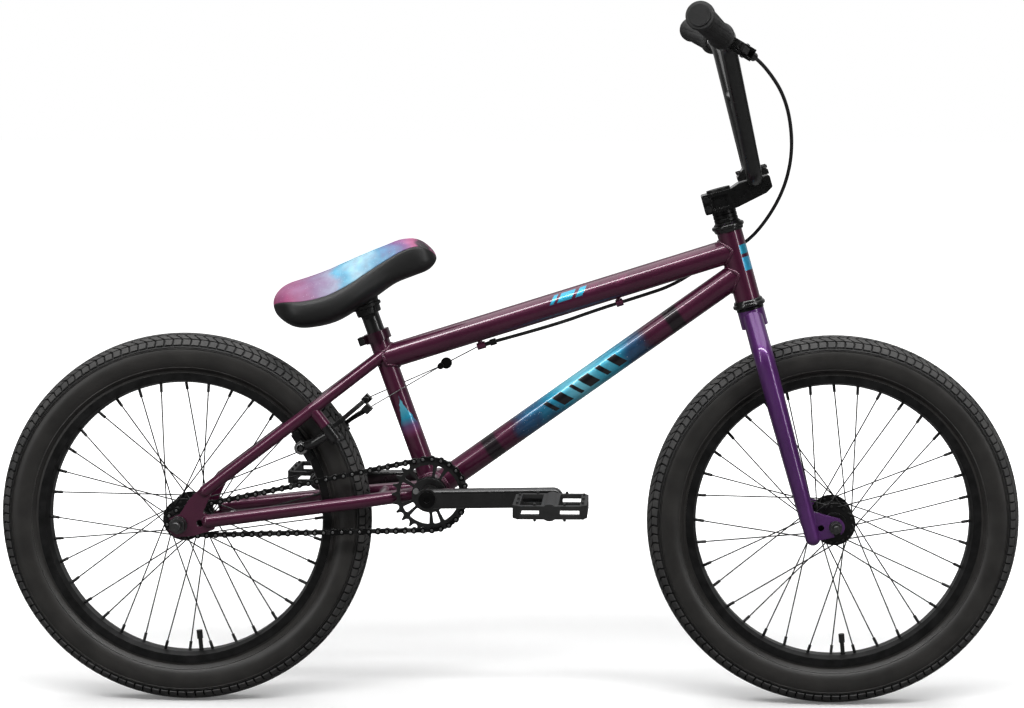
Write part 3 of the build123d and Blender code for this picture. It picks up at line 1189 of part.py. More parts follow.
blade_points = [
    lever_pivot + Vector(0, 0, 0),
    lever_pivot + grip_right * 22 + lever_out * 6,
    lever_pivot + grip_right * 62 + lever_out * 8,
    lever_pivot + grip_right * 96 + lever_out * 16,
]
with BuildPart() as lever_blade:
    with BuildSketch(Plane(origin=lever_pivot, x_dir=grip_right, z_dir=lever_axis)) as plan:
        flat = Plane(origin=lever_pivot, x_dir=grip_right, z_dir=lever_axis)
        corners = [flat.to_local_coords(point) for point in blade_points]
        with BuildLine() as middle:
            Polyline(*[(corner.X, corner.Y) for corner in corners])
        trace(line_width=9.5)
        with Locations((0, 0)):
            Circle(6.5)
        with Locations((corners[-1].X, corners[-1].Y)):
            Circle(6.0)
    extrude(plan.sketch, amount=LEVER_THICKNESS / 2, both=True)
    bar(lever_pivot - lever_axis * 12, lever_pivot + lever_axis * 12, 2.5 + SPIN_CLEARANCE,
        mode=Mode.SUBTRACT)
save(lever_blade.part, "brake_lever_blade")

# ---------------------------------------------------------------- brake arms
RIM_TRACK_RADIUS = FLANGE_RADIUS - 8.0
arm_pivot_off = foot_off + BRAKE_DROP
pad_off = arm_pivot_off - 8.0
pad_along = math.sqrt(RIM_TRACK_RADIUS ** 2 - pad_off ** 2) - foot_along
pad_back = stud_along - pad_along
pad_inner = RIM_WIDTH / 2 + PAD_GAP
pad_outer = pad_inner + PAD_SIZE[2]
ARM_FRONT = 52.0


def arm_point(side, along, off, across):
    """A point near one brake arm: along the stays from its pivot, off its mid plane, and across."""
    middle = stud_foot + seatstay_way * along + brake_way * (BRAKE_DROP + off)
    return middle + Y_AXIS * side * across


def pad_plane(side):
    """Where a brake shoe lies: its length follows the rim, its depth points across."""
    centre = arm_point(side, -pad_back, -8.0, (pad_inner + pad_outer) / 2)
    outward = sideways(centre - rear_axle, 0).normalized()
    along = Vector(outward.Z, 0, -outward.X)
    return Plane(origin=centre, x_dir=along, z_dir=(0, 1, 0))


for name, side, layer in (("right", -1, -5.0), ("left", 1, 5.0)):
    pivot = arm_point(side, 0, 0, stud_y)
    holder_y = pad_outer + 6
    with BuildPart() as brake_arm:
        bar(pivot - brake_way * 11.5, pivot + brake_way * 11.5, ARM_BOSS_RADIUS)
        run = [
            arm_point(side, 0, layer, stud_y), arm_point(side, 24, layer, stud_y - 8),
            arm_point(side, 40, layer, 6), arm_point(side, ARM_FRONT, layer, -22),
        ]
        flat = Plane(origin=run[0], x_dir=seatstay_way, z_dir=brake_way)
        with BuildSketch(flat) as front_arm:
            with BuildLine() as middle:
                Polyline(*[(flat.to_local_coords(p).X, flat.to_local_coords(p).Y) for p in run])
            trace(line_width=11)
            Circle(8)
        extrude(front_arm.sketch, amount=ARM_THICKNESS / 2, both=True)
        back = [
            arm_point(side, 0, 0, stud_y), arm_point(side, -pad_back * 0.6, -3, stud_y - 2),
            arm_point(side, -pad_back, -8, holder_y),
        ]
        bar(back[0], back[1], 6.5)
        bar(back[1], back[2], 6.5)
        with Locations(back[1]):
            Sphere(6.5)
        bar(back[2] - Y_AXIS * side * 5.5, back[2] + Y_AXIS * side * 5, 10.0)
        bar(pivot - brake_way * 30, pivot + brake_way * 30, BRAKE_PIVOT_RADIUS + SPIN_CLEARANCE,
            mode=Mode.SUBTRACT)
        bar(back[2] - Y_AXIS * side * 40, back[2] + Y_AXIS * side * 40, 3.05, mode=Mode.SUBTRACT)
        bar(back[2] + Y_AXIS * side * 5, back[2] + Y_AXIS * side * 40, 6.3, mode=Mode.SUBTRACT)
    save(largest_solids(brake_arm.part, 1)[0], f"brake_arm_{name}")

    with BuildPart() as brake_pad:
        with Locations(pad_plane(side)):
            Box(*PAD_SIZE)
        fillet(brake_pad.edges().filter_by(Axis.Y), 3.0)
        bar(back[2] - Y_AXIS * side * 6, back[2] + Y_AXIS * side * 12, 3.0)
        hexagon_bar(back[2] + Y_AXIS * side * 5, back[2] + Y_AXIS * side * 10, 10.0)
    save(brake_pad.part, f"brake_pad_{name}")

# ---------------------------------------------------------------- cables
hanger_centre = under_top_tube(STOP_DISTANCE - 55, guide_drop + 9)
wire_way = (hanger_centre - under_top_tube(STOP_DISTANCE - 6)).normalized()
with BuildPart() as hanger_disc:
    bar(hanger_centre - Y_AXIS * 2, hanger_centre + Y_AXIS * 2, 8.0)
    bar(hanger_centre + wire_way * 9 - Y_AXIS * 4, hanger_centre + wire_way * 9 + Y_AXIS * 4, 4.5)
with BuildPart() as brake_wires:
    bar(hanger_centre, under_top_tube(STOP_DISTANCE - 6), WIRE_RADIUS)
    for side, layer in ((-1, -5.0), (1, 5.0)):
        arm_end = arm_point(side, ARM_FRONT + 7, layer, -26)
        bar(hanger_centre + wire_way * 12 + Y_AXIS * side * -3, arm_end, WIRE_RADIUS)
    add(hanger_disc.part, mode=Mode.SUBTRACT)
save_group([hanger_disc.part, *largest_solids(brake_wires.part, 3)], "cable_hanger")

# The housing runs from the lever round the head tube's left side and back under the top tube.
housing_points = [
    barrel_foot + barrel_way * 10.3,
    barrel_foot + barrel_way * 40,
    Vector(382, -124, 862),
    Vector(395, -72, 800),
    Vector(389, -34, 745),
    Vector(368, 6, 696),
    Vector(336, 30, 655),
    Vector(290, 30, 634),
    under_top_tube(CLIP_DISTANCE + 82, guide_drop, 12),
    under_top_tube(CLIP_DISTANCE + 30),
    under_top_tube(CLIP_DISTANCE - 30),
    under_top_tube(CLIP_DISTANCE - 100, guide_drop + 3),
    under_top_tube(barrel_front + 0.3),
]


def largest_bends(points, share=0.45):
    """The bend radius at each corner: this share of its shorter run, over the tangent of half its turn."""
    radii = []
    for before, corner, after in zip(points, points[1:], points[2:]):
        turn = math.radians((corner - before).get_angle(after - corner))
        shorter = min((corner - before).length, (after - corner).length)
        radii.append(share * shorter / math.tan(turn / 2))
    return radii


housing_bends = largest_bends(housing_points)
print("housing bend radii", [round(radius) for radius in housing_bends])
with BuildPart() as cable_housing:
    bent_tube(housing_points, housing_bends, HOUSING_RADIUS)
save(cable_housing.part, "cable_housing")
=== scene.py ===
"""The finish of a freestyle BMX bicycle: paint, rubber, saddle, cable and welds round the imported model.

Sizes are in metres, in the model's own frame: +X forward, +Y to the rider's left, +Z up, and the origin
on the ground between the wheels. Every new piece is a surface worked out from two parameters.
"""
import json
import math

import bpy
import numpy as np
from mathutils import Matrix


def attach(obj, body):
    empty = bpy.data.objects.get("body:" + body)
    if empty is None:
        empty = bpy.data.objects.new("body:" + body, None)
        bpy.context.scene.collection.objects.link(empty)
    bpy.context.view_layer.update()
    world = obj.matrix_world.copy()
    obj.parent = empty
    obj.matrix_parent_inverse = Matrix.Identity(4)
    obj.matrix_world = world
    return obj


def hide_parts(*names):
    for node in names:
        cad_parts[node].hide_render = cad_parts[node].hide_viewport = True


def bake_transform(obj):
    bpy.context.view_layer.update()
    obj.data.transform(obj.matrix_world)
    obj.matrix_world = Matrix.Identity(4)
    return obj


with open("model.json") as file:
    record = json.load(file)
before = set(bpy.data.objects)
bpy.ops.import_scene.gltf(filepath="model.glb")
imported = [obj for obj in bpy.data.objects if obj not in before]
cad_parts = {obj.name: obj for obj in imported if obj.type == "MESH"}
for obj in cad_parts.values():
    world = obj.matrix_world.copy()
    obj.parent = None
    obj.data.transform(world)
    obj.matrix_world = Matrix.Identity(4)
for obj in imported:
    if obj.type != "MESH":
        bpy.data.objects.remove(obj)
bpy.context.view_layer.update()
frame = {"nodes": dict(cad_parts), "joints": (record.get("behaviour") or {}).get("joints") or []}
nodes = frame["nodes"]
joints = {joint["name"]: joint for joint in frame["joints"]}
MM = 0.001
TURN = 2 * math.pi


def vec(*values):
    """A point or direction as an array."""
    return np.array(values, float)


# ---------------------------------------------------------------- layout, from the model's own joints
FORK_OFFSET = 34.4 * MM             # from the steering axis to the front axle
HEAD_BASE = 336.0 * MM              # the head tube's ends, up the steering axis
HEAD_TOP = 436.0 * MM
SEAT_ANGLE = math.radians(70.5)
SEAT_TUBE_LENGTH = 239 * MM
TOP_TUBE_HEIGHT = 199 * MM          # where the top tube leaves the seat tube
TOP_TUBE_DROP = 27 * MM             # from the head tube's top to the top tube's middle
DOWN_TUBE_RISE = 40 * MM            # from the head tube's base to the down tube's middle
MAIN_TUBE = 17.45 * MM              # outer radii of the tubes
SEAT_TUBE = 14.3 * MM
HEAD_TUBE = 18.0 * MM
SHELL_TUBE = 24.0 * MM
BAR_BORE = 11.1 * MM                # inside radius of a grip
rear = vec(*joints["rear_wheel_spin"]["pos_m"])
front = vec(*joints["front_wheel_spin"]["pos_m"])
bottom_bracket = vec(*joints["crank_spin"]["pos_m"])
steer_up = vec(*joints["steering"]["axis"])
steer_ahead = vec(steer_up[2], 0, -steer_up[0])
steer_foot = front - steer_ahead * FORK_OFFSET
seat_up = vec(-math.cos(SEAT_ANGLE), 0, math.sin(SEAT_ANGLE))
top_tube_rear = bottom_bracket + seat_up * TOP_TUBE_HEIGHT
top_tube_front = steer_foot + steer_up * (HEAD_TOP - TOP_TUBE_DROP)
down_tube_front = steer_foot + steer_up * (HEAD_BASE + DOWN_TUBE_RISE)
seat_tube_top = bottom_bracket + seat_up * SEAT_TUBE_LENGTH
across_bicycle = vec(0, 1, 0)


def unit(direction):
    """The same direction with a length of one, for one vector or a row of them."""
    return direction / np.linalg.norm(direction, axis=-1, keepdims=True)


# ---------------------------------------------------------------- surfaces
def smooth(places, values, at):
    """Values at other places on a smooth curve through a table: a cubic whose slope at each entry is
    that of the line between its neighbours."""
    places, values = np.asarray(places, float), np.asarray(values, float)
    slopes = np.gradient(values, places)
    at = np.clip(at, places[0], places[-1])
    left = np.clip(np.searchsorted(places, at, side="right") - 1, 0, len(places) - 2)
    width = places[left + 1] - places[left]
    t = (at - places[left]) / width
    rise = values[left] * (1 + 2 * t) * (1 - t) ** 2 + values[left + 1] * t * t * (3 - 2 * t)
    return rise + width * (slopes[left] * t * (1 - t) ** 2 - slopes[left + 1] * t * t * (1 - t))


def fitted(values, low, high):
    """The values brought to 0 at low and 1 at high, and held there beyond."""
    return np.clip((values - low) / (high - low), 0, 1)


def surface(name, grids, wrap=False, corner=38.0, mark=None):
    """A closed mesh from grids of points: each row of a grid is a ring, and the rings follow each other.

    wrap joins the last ring to the first; without it each end ring gets a flat cap. Edges sharper than
    corner degrees stay crisp. mark is a value for each point, kept as the attribute "mark"."""
    points, faces, start = [], [], 0
    for grid in grids:
        rows, columns = grid.shape[:2]
        i = np.arange(rows if wrap else rows - 1)[:, None]
        j = np.arange(columns)[None, :]
        across = (j + 1) % columns
        below = (i + 1) % rows
        four = np.broadcast_arrays(i * columns + j, i * columns + across,
                                   below * columns + across, below * columns + j)
        quads = np.stack(four, -1).reshape(-1, 4)
        middle = grid.reshape(-1, 3).mean(0)
        a, b, c, d = (grid.reshape(-1, 3)[quads[:, k]] - middle for k in range(4))
        volume = np.einsum("ij,ij->i", a, np.cross(b, c) + np.cross(c, d)).sum()
        flip = volume < 0
        if flip:
            quads = quads[:, ::-1]
        faces += (quads + start).tolist()
        if not wrap:
            first = list(range(start, start + columns))
            last = list(range(start + (rows - 1) * columns, start + rows * columns))
            faces.append(first if flip else first[::-1])
            faces.append(last[::-1] if flip else last)
        points.append(grid.reshape(-1, 3))
        start += rows * columns
    mesh = bpy.data.meshes.new(name)
    mesh.from_pydata(np.concatenate(points).tolist(), [], faces)
    mesh.polygons.foreach_set("use_smooth", np.ones(len(mesh.polygons), bool))
    mesh.set_sharp_from_angle(angle=math.radians(corner))
    if mark is not None:
        kept = mesh.attributes.new("mark", "FLOAT", "POINT")
        kept.data.foreach_set("value", np.asarray(mark, np.float32).ravel())
    mesh.update()
    piece = bpy.data.objects.new(name, mesh)
    bpy.context.scene.collection.objects.link(piece)
    return piece


def corners_of(mesh):
    """The points of a mesh as rows."""
    points = np.empty(len(mesh.vertices) * 3)
    mesh.vertices.foreach_get("co", points)
    return points.reshape(-1, 3)


def side_of(way):
    """A direction square to another one."""
    return unit(np.cross(way, across_bicycle if abs(way[1]) < 0.9 else vec(1, 0, 0)))


def turned(start, way, profile, steps=96):
    """A grid turned about the line from start along way; profile is a closed loop of (height, radius)."""
    way = unit(way)
    side = side_of(way)
    other = np.cross(way, side)
    angle = np.linspace(0, TURN, steps, endpoint=False)[:, None, None]
    height, radius = (np.asarray(profile, float)[:, k][None, :, None] for k in (0, 1))
    return start + way * height + radius * (side * np.cos(angle) + other * np.sin(angle))


def tube_grid(path, radius, guide):
    """A round tube along a row of points; guide is a direction that the path never runs along."""
    along = unit(np.gradient(path, axis=0))
    side = unit(np.cross(along, guide))
    other = np.cross(along, side)
    angle = np.linspace(0, TURN, 16, endpoint=False)[None, :, None]
    return path[:, None] + radius * (side[:, None] * np.cos(angle) + other[:, None] * np.sin(angle))


# ---------------------------------------------------------------- materials
def node(tree, kind, inputs=None, **settings):
    """Add a shader node: settings are its own properties, inputs its sockets' values or links."""
    made = tree.nodes.new(kind)
    for key, value in settings.items():
        setattr(made, key, value)
    for key, value in (inputs or {}).items():
        if isinstance(value, bpy.types.NodeSocket):
            tree.links.new(value, made.inputs[key])
        else:
            made.inputs[key].default_value = value
    return made


def finish(name, roughness, metallic=0.0, coat=0.0, coat_roughness=0.05, specular=0.5):
    """A new material with its shader's even values set; gives the material, its node tree and shader."""
    made = bpy.data.materials.new(name)
    made.use_nodes = True
    tree = made.node_tree
    shader = tree.nodes["Principled BSDF"]
    for key, value in (("Roughness", roughness), ("Metallic", metallic), ("Coat Weight", coat),
                       ("Coat Roughness", coat_roughness), ("Specular IOR Level", specular)):
        shader.inputs[key].default_value = value
    return made, tree, shader


def place_of(tree):
    """The point on the surface, in the model's frame."""
    return node(tree, "ShaderNodeTexCoord").outputs["Object"]


def noise(tree, scale, detail=3.0):
    """Cloudy values from 0 to 1, this many to the metre."""
    made = node(tree, "ShaderNodeTexNoise", {"Scale": scale, "Detail": detail, "Vector": place_of(tree)})
    return made.outputs["Fac"]


def cells(tree, scale):
    """Distances to scattered points, for flakes, stars and grain."""
    made = node(tree, "ShaderNodeTexVoronoi", {"Scale": scale, "Vector": place_of(tree)})
    return made.outputs["Distance"]


def blend_of(tree, factor, *stops):
    """Colours or values that follow a factor: each stop is (place, colour)."""
    made = node(tree, "ShaderNodeValToRGB", {"Fac": factor})
    ramp = made.color_ramp
    while len(ramp.elements) < len(stops):
        ramp.elements.new(1.0)
    for element, (place, colour) in zip(ramp.elements, stops):
        element.position = place
        element.color = (*colour, 1.0) if len(colour) == 3 else colour
    return made.outputs["Color"]


def grey(value):
    """A neutral colour."""
    return (value, value, value)


def mixed(tree, factor, first, second):
    """One colour over another, as the factor goes from 0 to 1."""
    made = node(tree, "ShaderNodeMix", data_type="RGBA")
    for key, value in ((0, factor), (6, first), (7, second)):
        if isinstance(value, bpy.types.NodeSocket):
            tree.links.new(value, made.inputs[key])
        else:
            made.inputs[key].default_value = value if key == 0 else (*value, 1.0)
    return made.outputs[2]


def sums(tree, operation, first, second=0.0):
    """Arithmetic on one or two values."""
    return node(tree, "ShaderNodeMath", {0: first, 1: second}, operation=operation).outputs[0]


def times(tree, first, second):
    """The product of two values."""
    return sums(tree, "MULTIPLY", first, second)


def distance_along(tree, start, way):
    """How far a point lies from start along a direction, in metres."""
    way = unit(way)
    made = node(tree, "ShaderNodeVectorMath", {0: place_of(tree), 1: tuple(way)}, operation="DOT_PRODUCT")
    return sums(tree, "SUBTRACT", made.outputs["Value"], float(np.dot(start, way)))


def distance_round(tree, centre):
    """How far a point lies from the line across the bicycle through centre, such as a wheel's axle."""
    flat = node(tree, "ShaderNodeVectorMath", {0: place_of(tree), 1: (1.0, 0.0, 1.0)}, operation="MULTIPLY")
    middle = (centre[0], 0.0, centre[2])
    away = node(tree, "ShaderNodeVectorMath", {0: flat.outputs[0], 1: middle}, operation="DISTANCE")
    return away.outputs["Value"]


def distance_across(tree, middle):
    """How far a point lies to either side of the plane that is middle metres to the rider's left."""
    return sums(tree, "ABSOLUTE", distance_along(tree, vec(0, middle, 0), across_bicycle))


def fit(tree, value, low, high):
    """The value brought to 0 at low and 1 at high, and held there beyond."""
    made = node(tree, "ShaderNodeMapRange", {"Value": value, "From Min": low, "From Max": high})
    return made.outputs["Result"]


def band(tree, value, low, high, soft):
    """1 between two limits and 0 outside, with soft edges this wide."""
    rise = fit(tree, value, low - soft, low + soft)
    fall = fit(tree, value, high + soft, high - soft)
    return times(tree, rise, fall)


def relief(tree, shader, height, strength, depth):
    """Give the surface the look of a fine relief from a height map."""
    made = node(tree, "ShaderNodeBump", {"Height": height, "Strength": strength, "Distance": depth})
    tree.links.new(made.outputs["Normal"], shader.inputs["Normal"])


def rounded(tree, shader, radius, height, strength, depth):
    """Round the look of hard edges by a radius, and add a fine relief over it."""
    edge = node(tree, "ShaderNodeBevel", {"Radius": radius}, samples=4).outputs["Normal"]
    made = node(tree, "ShaderNodeBump", {"Height": height, "Strength": strength, "Distance": depth,
                                         "Normal": edge})
    tree.links.new(made.outputs["Normal"], shader.inputs["Normal"])


def two_shades(tree, shader, factor, dark, light):
    """Colour the surface between two shades: each is (the factor's value there, colour)."""
    tree.links.new(blend_of(tree, factor, dark, light), shader.inputs["Base Color"])


def flaked_paint(name, deep, bright, print_on=None):
    """Gloss paint with metal flake under a clear coat: cells brighten the base colour here and there."""
    made, tree, shader = finish(name, roughness=0.36, metallic=0.45, coat=1.0, coat_roughness=0.03)
    flake = fit(tree, cells(tree, 1500.0), 0.15, 0.6)
    cloud = noise(tree, 14.0)
    colour = mixed(tree, times(tree, flake, cloud), bright, deep)
    if print_on:
        colour = print_on(tree, colour)
    tree.links.new(colour, shader.inputs["Base Color"])
    rounded(tree, shader, 0.0012, noise(tree, 420.0), 0.10, 0.0002)
    return made


def black_metal(name, base, roughness, coat=0.0, metallic=0.6, wear=0.03, edge=0.0008):
    """Black finish on metal, with faint handling marks and brighter worn patches."""
    made, tree, shader = finish(name, roughness, metallic, coat, coat_roughness=0.12)
    patches = noise(tree, 60.0, 5.0)
    two_shades(tree, shader, patches, (0.35, grey(base)), (0.75, grey(base + wear)))
    rough = fit(tree, noise(tree, 150.0, 4.0), 0.2, 0.8)
    span = node(tree, "ShaderNodeMapRange", {"Value": rough, "To Min": roughness * 0.8,
                                             "To Max": roughness * 1.25})
    tree.links.new(span.outputs["Result"], shader.inputs["Roughness"])
    rounded(tree, shader, edge, noise(tree, 900.0), 0.12, 0.0001)
    return made


def bare_steel(name, base, roughness):
    """Plated steel with fine turning marks."""
    made, tree, shader = finish(name, roughness=roughness, metallic=1.0)
    marks = noise(tree, 500.0, 4.0)
    two_shades(tree, shader, marks, (0.3, grey(base * 0.7)), (0.7, grey(base)))
    rounded(tree, shader, 0.0005, marks, 0.15, 0.0001)
    return made


def moulded(name, base, roughness, grain=1400.0, strength=0.2):
    """Moulded black plastic or rubber with a fine grain."""
    made, tree, shader = finish(name, roughness=roughness, specular=0.4)
    shade = noise(tree, 35.0, 4.0)
    two_shades(tree, shader, shade, (0.3, grey(base * 0.8)), (0.7, grey(base * 1.25)))
    rounded(tree, shader, 0.0008, cells(tree, grain), strength, 0.0003)
    return made


CYAN = (0.02, 0.38, 0.58)
PALE_CYAN = (0.18, 0.62, 0.78)
INK = (0.006, 0.005, 0.008)
PLUM = (0.036, 0.004, 0.017)
PLUM_BRIGHT = (0.115, 0.014, 0.053)
VIOLET = (0.050, 0.008, 0.080)
VIOLET_BRIGHT = (0.145, 0.033, 0.22)
FADED_ROSE = (0.26, 0.04, 0.11)
DUSK = (0.16, 0.07, 0.20)


def nebula(tree, base, start, way, low, peak, high, bars):
    """A cloud of cyan over the paint along a tube, brightest at the peak, with slanted bars over it."""
    along = distance_along(tree, start, way)
    across = distance_along(tree, start, vec(-way[2], 0, way[0]))
    wave = times(tree, sums(tree, "SUBTRACT", noise(tree, 22.0, 6.0), 0.5), 0.11)
    here = sums(tree, "ADD", along, wave)
    rise = fit(tree, here, low, peak)
    fall = fit(tree, here, high, peak)
    glow = times(tree, rise, fall)
    sky = blend_of(tree, glow, (0.0, PLUM), (0.3, (0.02, 0.10, 0.22)), (0.6, CYAN), (0.95, PALE_CYAN))
    star = fit(tree, cells(tree, 240.0), 0.13, 0.07)
    sky = mixed(tree, times(tree, star, 0.8), sky, (0.8, 0.85, 0.95))
    colour = mixed(tree, fit(tree, glow, 0.0, 0.16), base, sky)
    slanted = sums(tree, "ADD", along, times(tree, across, 0.5))
    for first, last in bars:
        inside = times(tree, band(tree, slanted, first, last, 0.0004),
                       band(tree, across, -9.5 * MM, 9.5 * MM, 0.0004))
        colour = mixed(tree, inside, colour, INK)
    return colour


down_way = unit(down_tube_front - bottom_bracket)
top_way = unit(top_tube_front - top_tube_rear)


def down_tube_print(tree, base):
    """Cyan cloud along the middle of the down tube, with plain slanted bars and two dark bands."""
    bars_and_widths = ((205, 7), (220, 16), (249, 6), (265, 17), (294, 8), (315, 14))
    bars = [(place * MM, (place + wide) * MM) for place, wide in bars_and_widths]
    colour = nebula(tree, base, bottom_bracket, down_way, 0.145, 0.27, 0.385, bars)
    along = distance_along(tree, bottom_bracket, down_way)
    for place in (0.096, 0.410):
        dark = band(tree, along, place, place + 0.022, 0.002)
        colour = mixed(tree, dark, colour, (0.012, 0.006, 0.010))
    return colour


def top_tube_print(tree, base):
    """A few slanted cyan dashes on the upper side of the top tube."""
    along = distance_along(tree, top_tube_rear, top_way)
    across = distance_along(tree, top_tube_rear, vec(-top_way[2], 0, top_way[0]))
    slanted = sums(tree, "SUBTRACT", along, times(tree, across, 0.9))
    colour = base
    for first, last, tint in ((0.243, 0.249, CYAN), (0.254, 0.275, CYAN), (0.281, 0.291, CYAN),
                              (0.297, 0.309, PLUM_BRIGHT), (0.340, 0.352, PLUM_BRIGHT)):
        inside = times(tree, band(tree, slanted, first, last, 0.0004),
                       band(tree, across, 3.0 * MM, 14.0 * MM, 0.0004))
        colour = mixed(tree, inside, colour, tint)
    return colour


def seat_tube_print(tree, base):
    """A cyan flame that fades to rose down the seat tube: a triangle with its point upward."""
    height = distance_along(tree, bottom_bracket, seat_up)
    side = distance_along(tree, vec(0, -SEAT_TUBE, 0), across_bicycle)
    ahead = distance_along(tree, bottom_bracket + seat_up * 0.1, vec(seat_up[2], 0, -seat_up[0]))
    ragged = times(tree, noise(tree, 160.0, 3.0), 0.006)
    reach = times(tree, sums(tree, "SUBTRACT", 0.137, height), 0.30)
    off_middle = sums(tree, "ABSOLUTE", sums(tree, "SUBTRACT", ahead, 0.001))
    inside = fit(tree, sums(tree, "SUBTRACT", sums(tree, "ADD", reach, ragged), off_middle), 0.002, 0.0032)
    inside = times(tree, inside, band(tree, height, 0.086, 0.140, 0.006))
    inside = times(tree, inside, fit(tree, side, 0.016, 0.012))
    tint = blend_of(tree, fit(tree, height, 0.078, 0.135), (0.0, FADED_ROSE), (0.35, DUSK), (0.55, CYAN),
                    (1.0, PALE_CYAN))
    return mixed(tree, inside, base, tint)


def head_tube_print(tree, base):
    """Two plain cyan squares on the front of the head tube."""
    height = distance_along(tree, steer_foot, steer_up)
    ahead = distance_along(tree, steer_foot, steer_ahead)
    side = distance_along(tree, vec(0, 0, 0), across_bicycle)
    facing = times(tree, fit(tree, ahead, 0.006, 0.0066), band(tree, side, -0.0165, 0.0165, 0.0003))
    colour = base
    for low, high, tint in ((0.401, 0.414, CYAN), (0.377, 0.396, (0.04, 0.42, 0.70))):
        inside = times(tree, facing, band(tree, height, low, high, 0.0005))
        colour = mixed(tree, inside, colour, tint)
    return colour


plum_paint = flaked_paint("plum_flake_paint", PLUM, PLUM_BRIGHT)
down_paint = flaked_paint("down_tube_print", PLUM, PLUM_BRIGHT, down_tube_print)
top_paint = flaked_paint("top_tube_print", PLUM, PLUM_BRIGHT, top_tube_print)
seat_tube_paint = flaked_paint("seat_tube_print", PLUM, PLUM_BRIGHT, seat_tube_print)
head_paint = flaked_paint("head_tube_print", PLUM, PLUM_BRIGHT, head_tube_print)
violet_paint = flaked_paint("violet_flake_paint", VIOLET, VIOLET_BRIGHT)
black_paint = black_metal("black_gloss_paint", 0.005, 0.30, coat=0.8, metallic=0.1, wear=0.006)
black_alloy = black_metal("black_anodised_alloy", 0.010, 0.34, metallic=0.6, wear=0.016)
forged_black = black_metal("forged_black_alloy", 0.007, 0.28, coat=0.8, metallic=0.3, wear=0.010,
                           edge=0.0014)
black_steel = black_metal("black_oxide_steel", 0.035, 0.38, metallic=0.9, wear=0.05, edge=0.0005)
chain_steel = black_metal("oiled_chain_steel", 0.030, 0.33, metallic=0.9, wear=0.10, edge=0.0004)
nut_steel = bare_steel("dark_plated_nut", 0.16, 0.36)
screw_steel = bare_steel("bright_screw_steel", 0.62, 0.25)
black_plastic = moulded("moulded_black_plastic", 0.012, 0.42)
pedal_plastic = moulded("pedal_plastic", 0.022, 0.48, grain=900.0, strength=0.35)
grip_rubber = moulded("grip_rubber", 0.030, 0.66, grain=2600.0, strength=0.12)
shoe_rubber = moulded("brake_shoe_rubber", 0.012, 0.75)


def tyre_rubber(name, centre):
    """Black rubber: dusty on the tread, smoother and a little brown on the side wall. The tread's grooves
    get painted shade, near black.
    """
    made, tree, shader = finish(name, roughness=0.6, specular=0.45)
    radius = distance_round(tree, centre)
    cloud = noise(tree, 28.0, 5.0)
    wall = blend_of(tree, cloud, (0.3, (0.020, 0.019, 0.018)), (0.75, (0.036, 0.034, 0.032)))
    tread = blend_of(tree, cloud, (0.3, (0.040, 0.040, 0.040)), (0.75, (0.075, 0.073, 0.071)))
    # Painted shade: the tread's grooves are coloured near black, darker than the rubber, to stand in for
    # the shade that falls in them.
    groove = node(tree, "ShaderNodeAttribute", attribute_name="mark").outputs["Fac"]
    tread = mixed(tree, fit(tree, groove, 0.2, 0.9), tread, grey(0.004))
    tree.links.new(mixed(tree, fit(tree, radius, 0.244, 0.248), wall, tread), shader.inputs["Base Color"])
    rough = node(tree, "ShaderNodeMapRange", {"Value": radius, "From Min": 0.240, "From Max": 0.252,
                                              "To Min": 0.38, "To Max": 0.70})
    tree.links.new(rough.outputs["Result"], shader.inputs["Roughness"])
    relief(tree, shader, noise(tree, 700.0, 4.0), 0.25, 0.0003)
    return made


def two_tone(name, split, first, second, roughness, metallic, coat=0.0):
    """A material with two plain shades, where split gives 0 for the first and 1 for the second."""
    made, tree, shader = finish(name, roughness, metallic, coat)
    patches = noise(tree, 90.0, 4.0)
    shades = [blend_of(tree, patches, (0.3, tuple(0.8 * value for value in shade)), (0.7, shade))
              for shade in (first, second)]
    tree.links.new(mixed(tree, split(tree), *shades), shader.inputs["Base Color"])
    rounded(tree, shader, 0.0006, noise(tree, 700.0), 0.10, 0.0001)
    return made


def ear_split(tree):
    """0 on the clamp's ring and 1 on the ears behind it."""
    back = distance_along(tree, seat_tube_top, vec(-seat_up[2], 0, seat_up[0]))
    return fit(tree, back, 19.0 * MM, 19.4 * MM)


def wire_split(tree):
    """0 on the hanger's plate and 1 on its thin wires, which leave the middle plane."""
    return fit(tree, distance_across(tree, 0), 4.1 * MM, 4.6 * MM)


CHAIN_LINE = -45 * MM               # the chain's middle plane
PLATE_FACE = 3.95 * MM              # from that plane to the outer face of a link's plate


def rivet_split(tree):
    """0 on a link's plates and 1 on the pin ends that stand out past them."""
    return fit(tree, distance_across(tree, CHAIN_LINE), PLATE_FACE, PLATE_FACE + 0.05 * MM)


def far_split(tree):
    """0 near the crank's axis and 1 at the bolt that drives the sprocket."""
    return fit(tree, distance_round(tree, bottom_bracket), 14.0 * MM, 14.5 * MM)


clamp_skin = two_tone("clamp_paint", ear_split, PLUM, grey(0.012), 0.32, 0.4, coat=1.0)
hanger_skin = two_tone("hanger_metal", wire_split, grey(0.014), grey(0.22), 0.32, 0.8)
link_skin = two_tone("outer_link_steel", rivet_split, grey(0.022), grey(0.30), 0.33, 0.9)
crank_bolt_skin = two_tone("crank_bolt_metal", far_split, grey(0.02), grey(0.55), 0.30, 0.9)

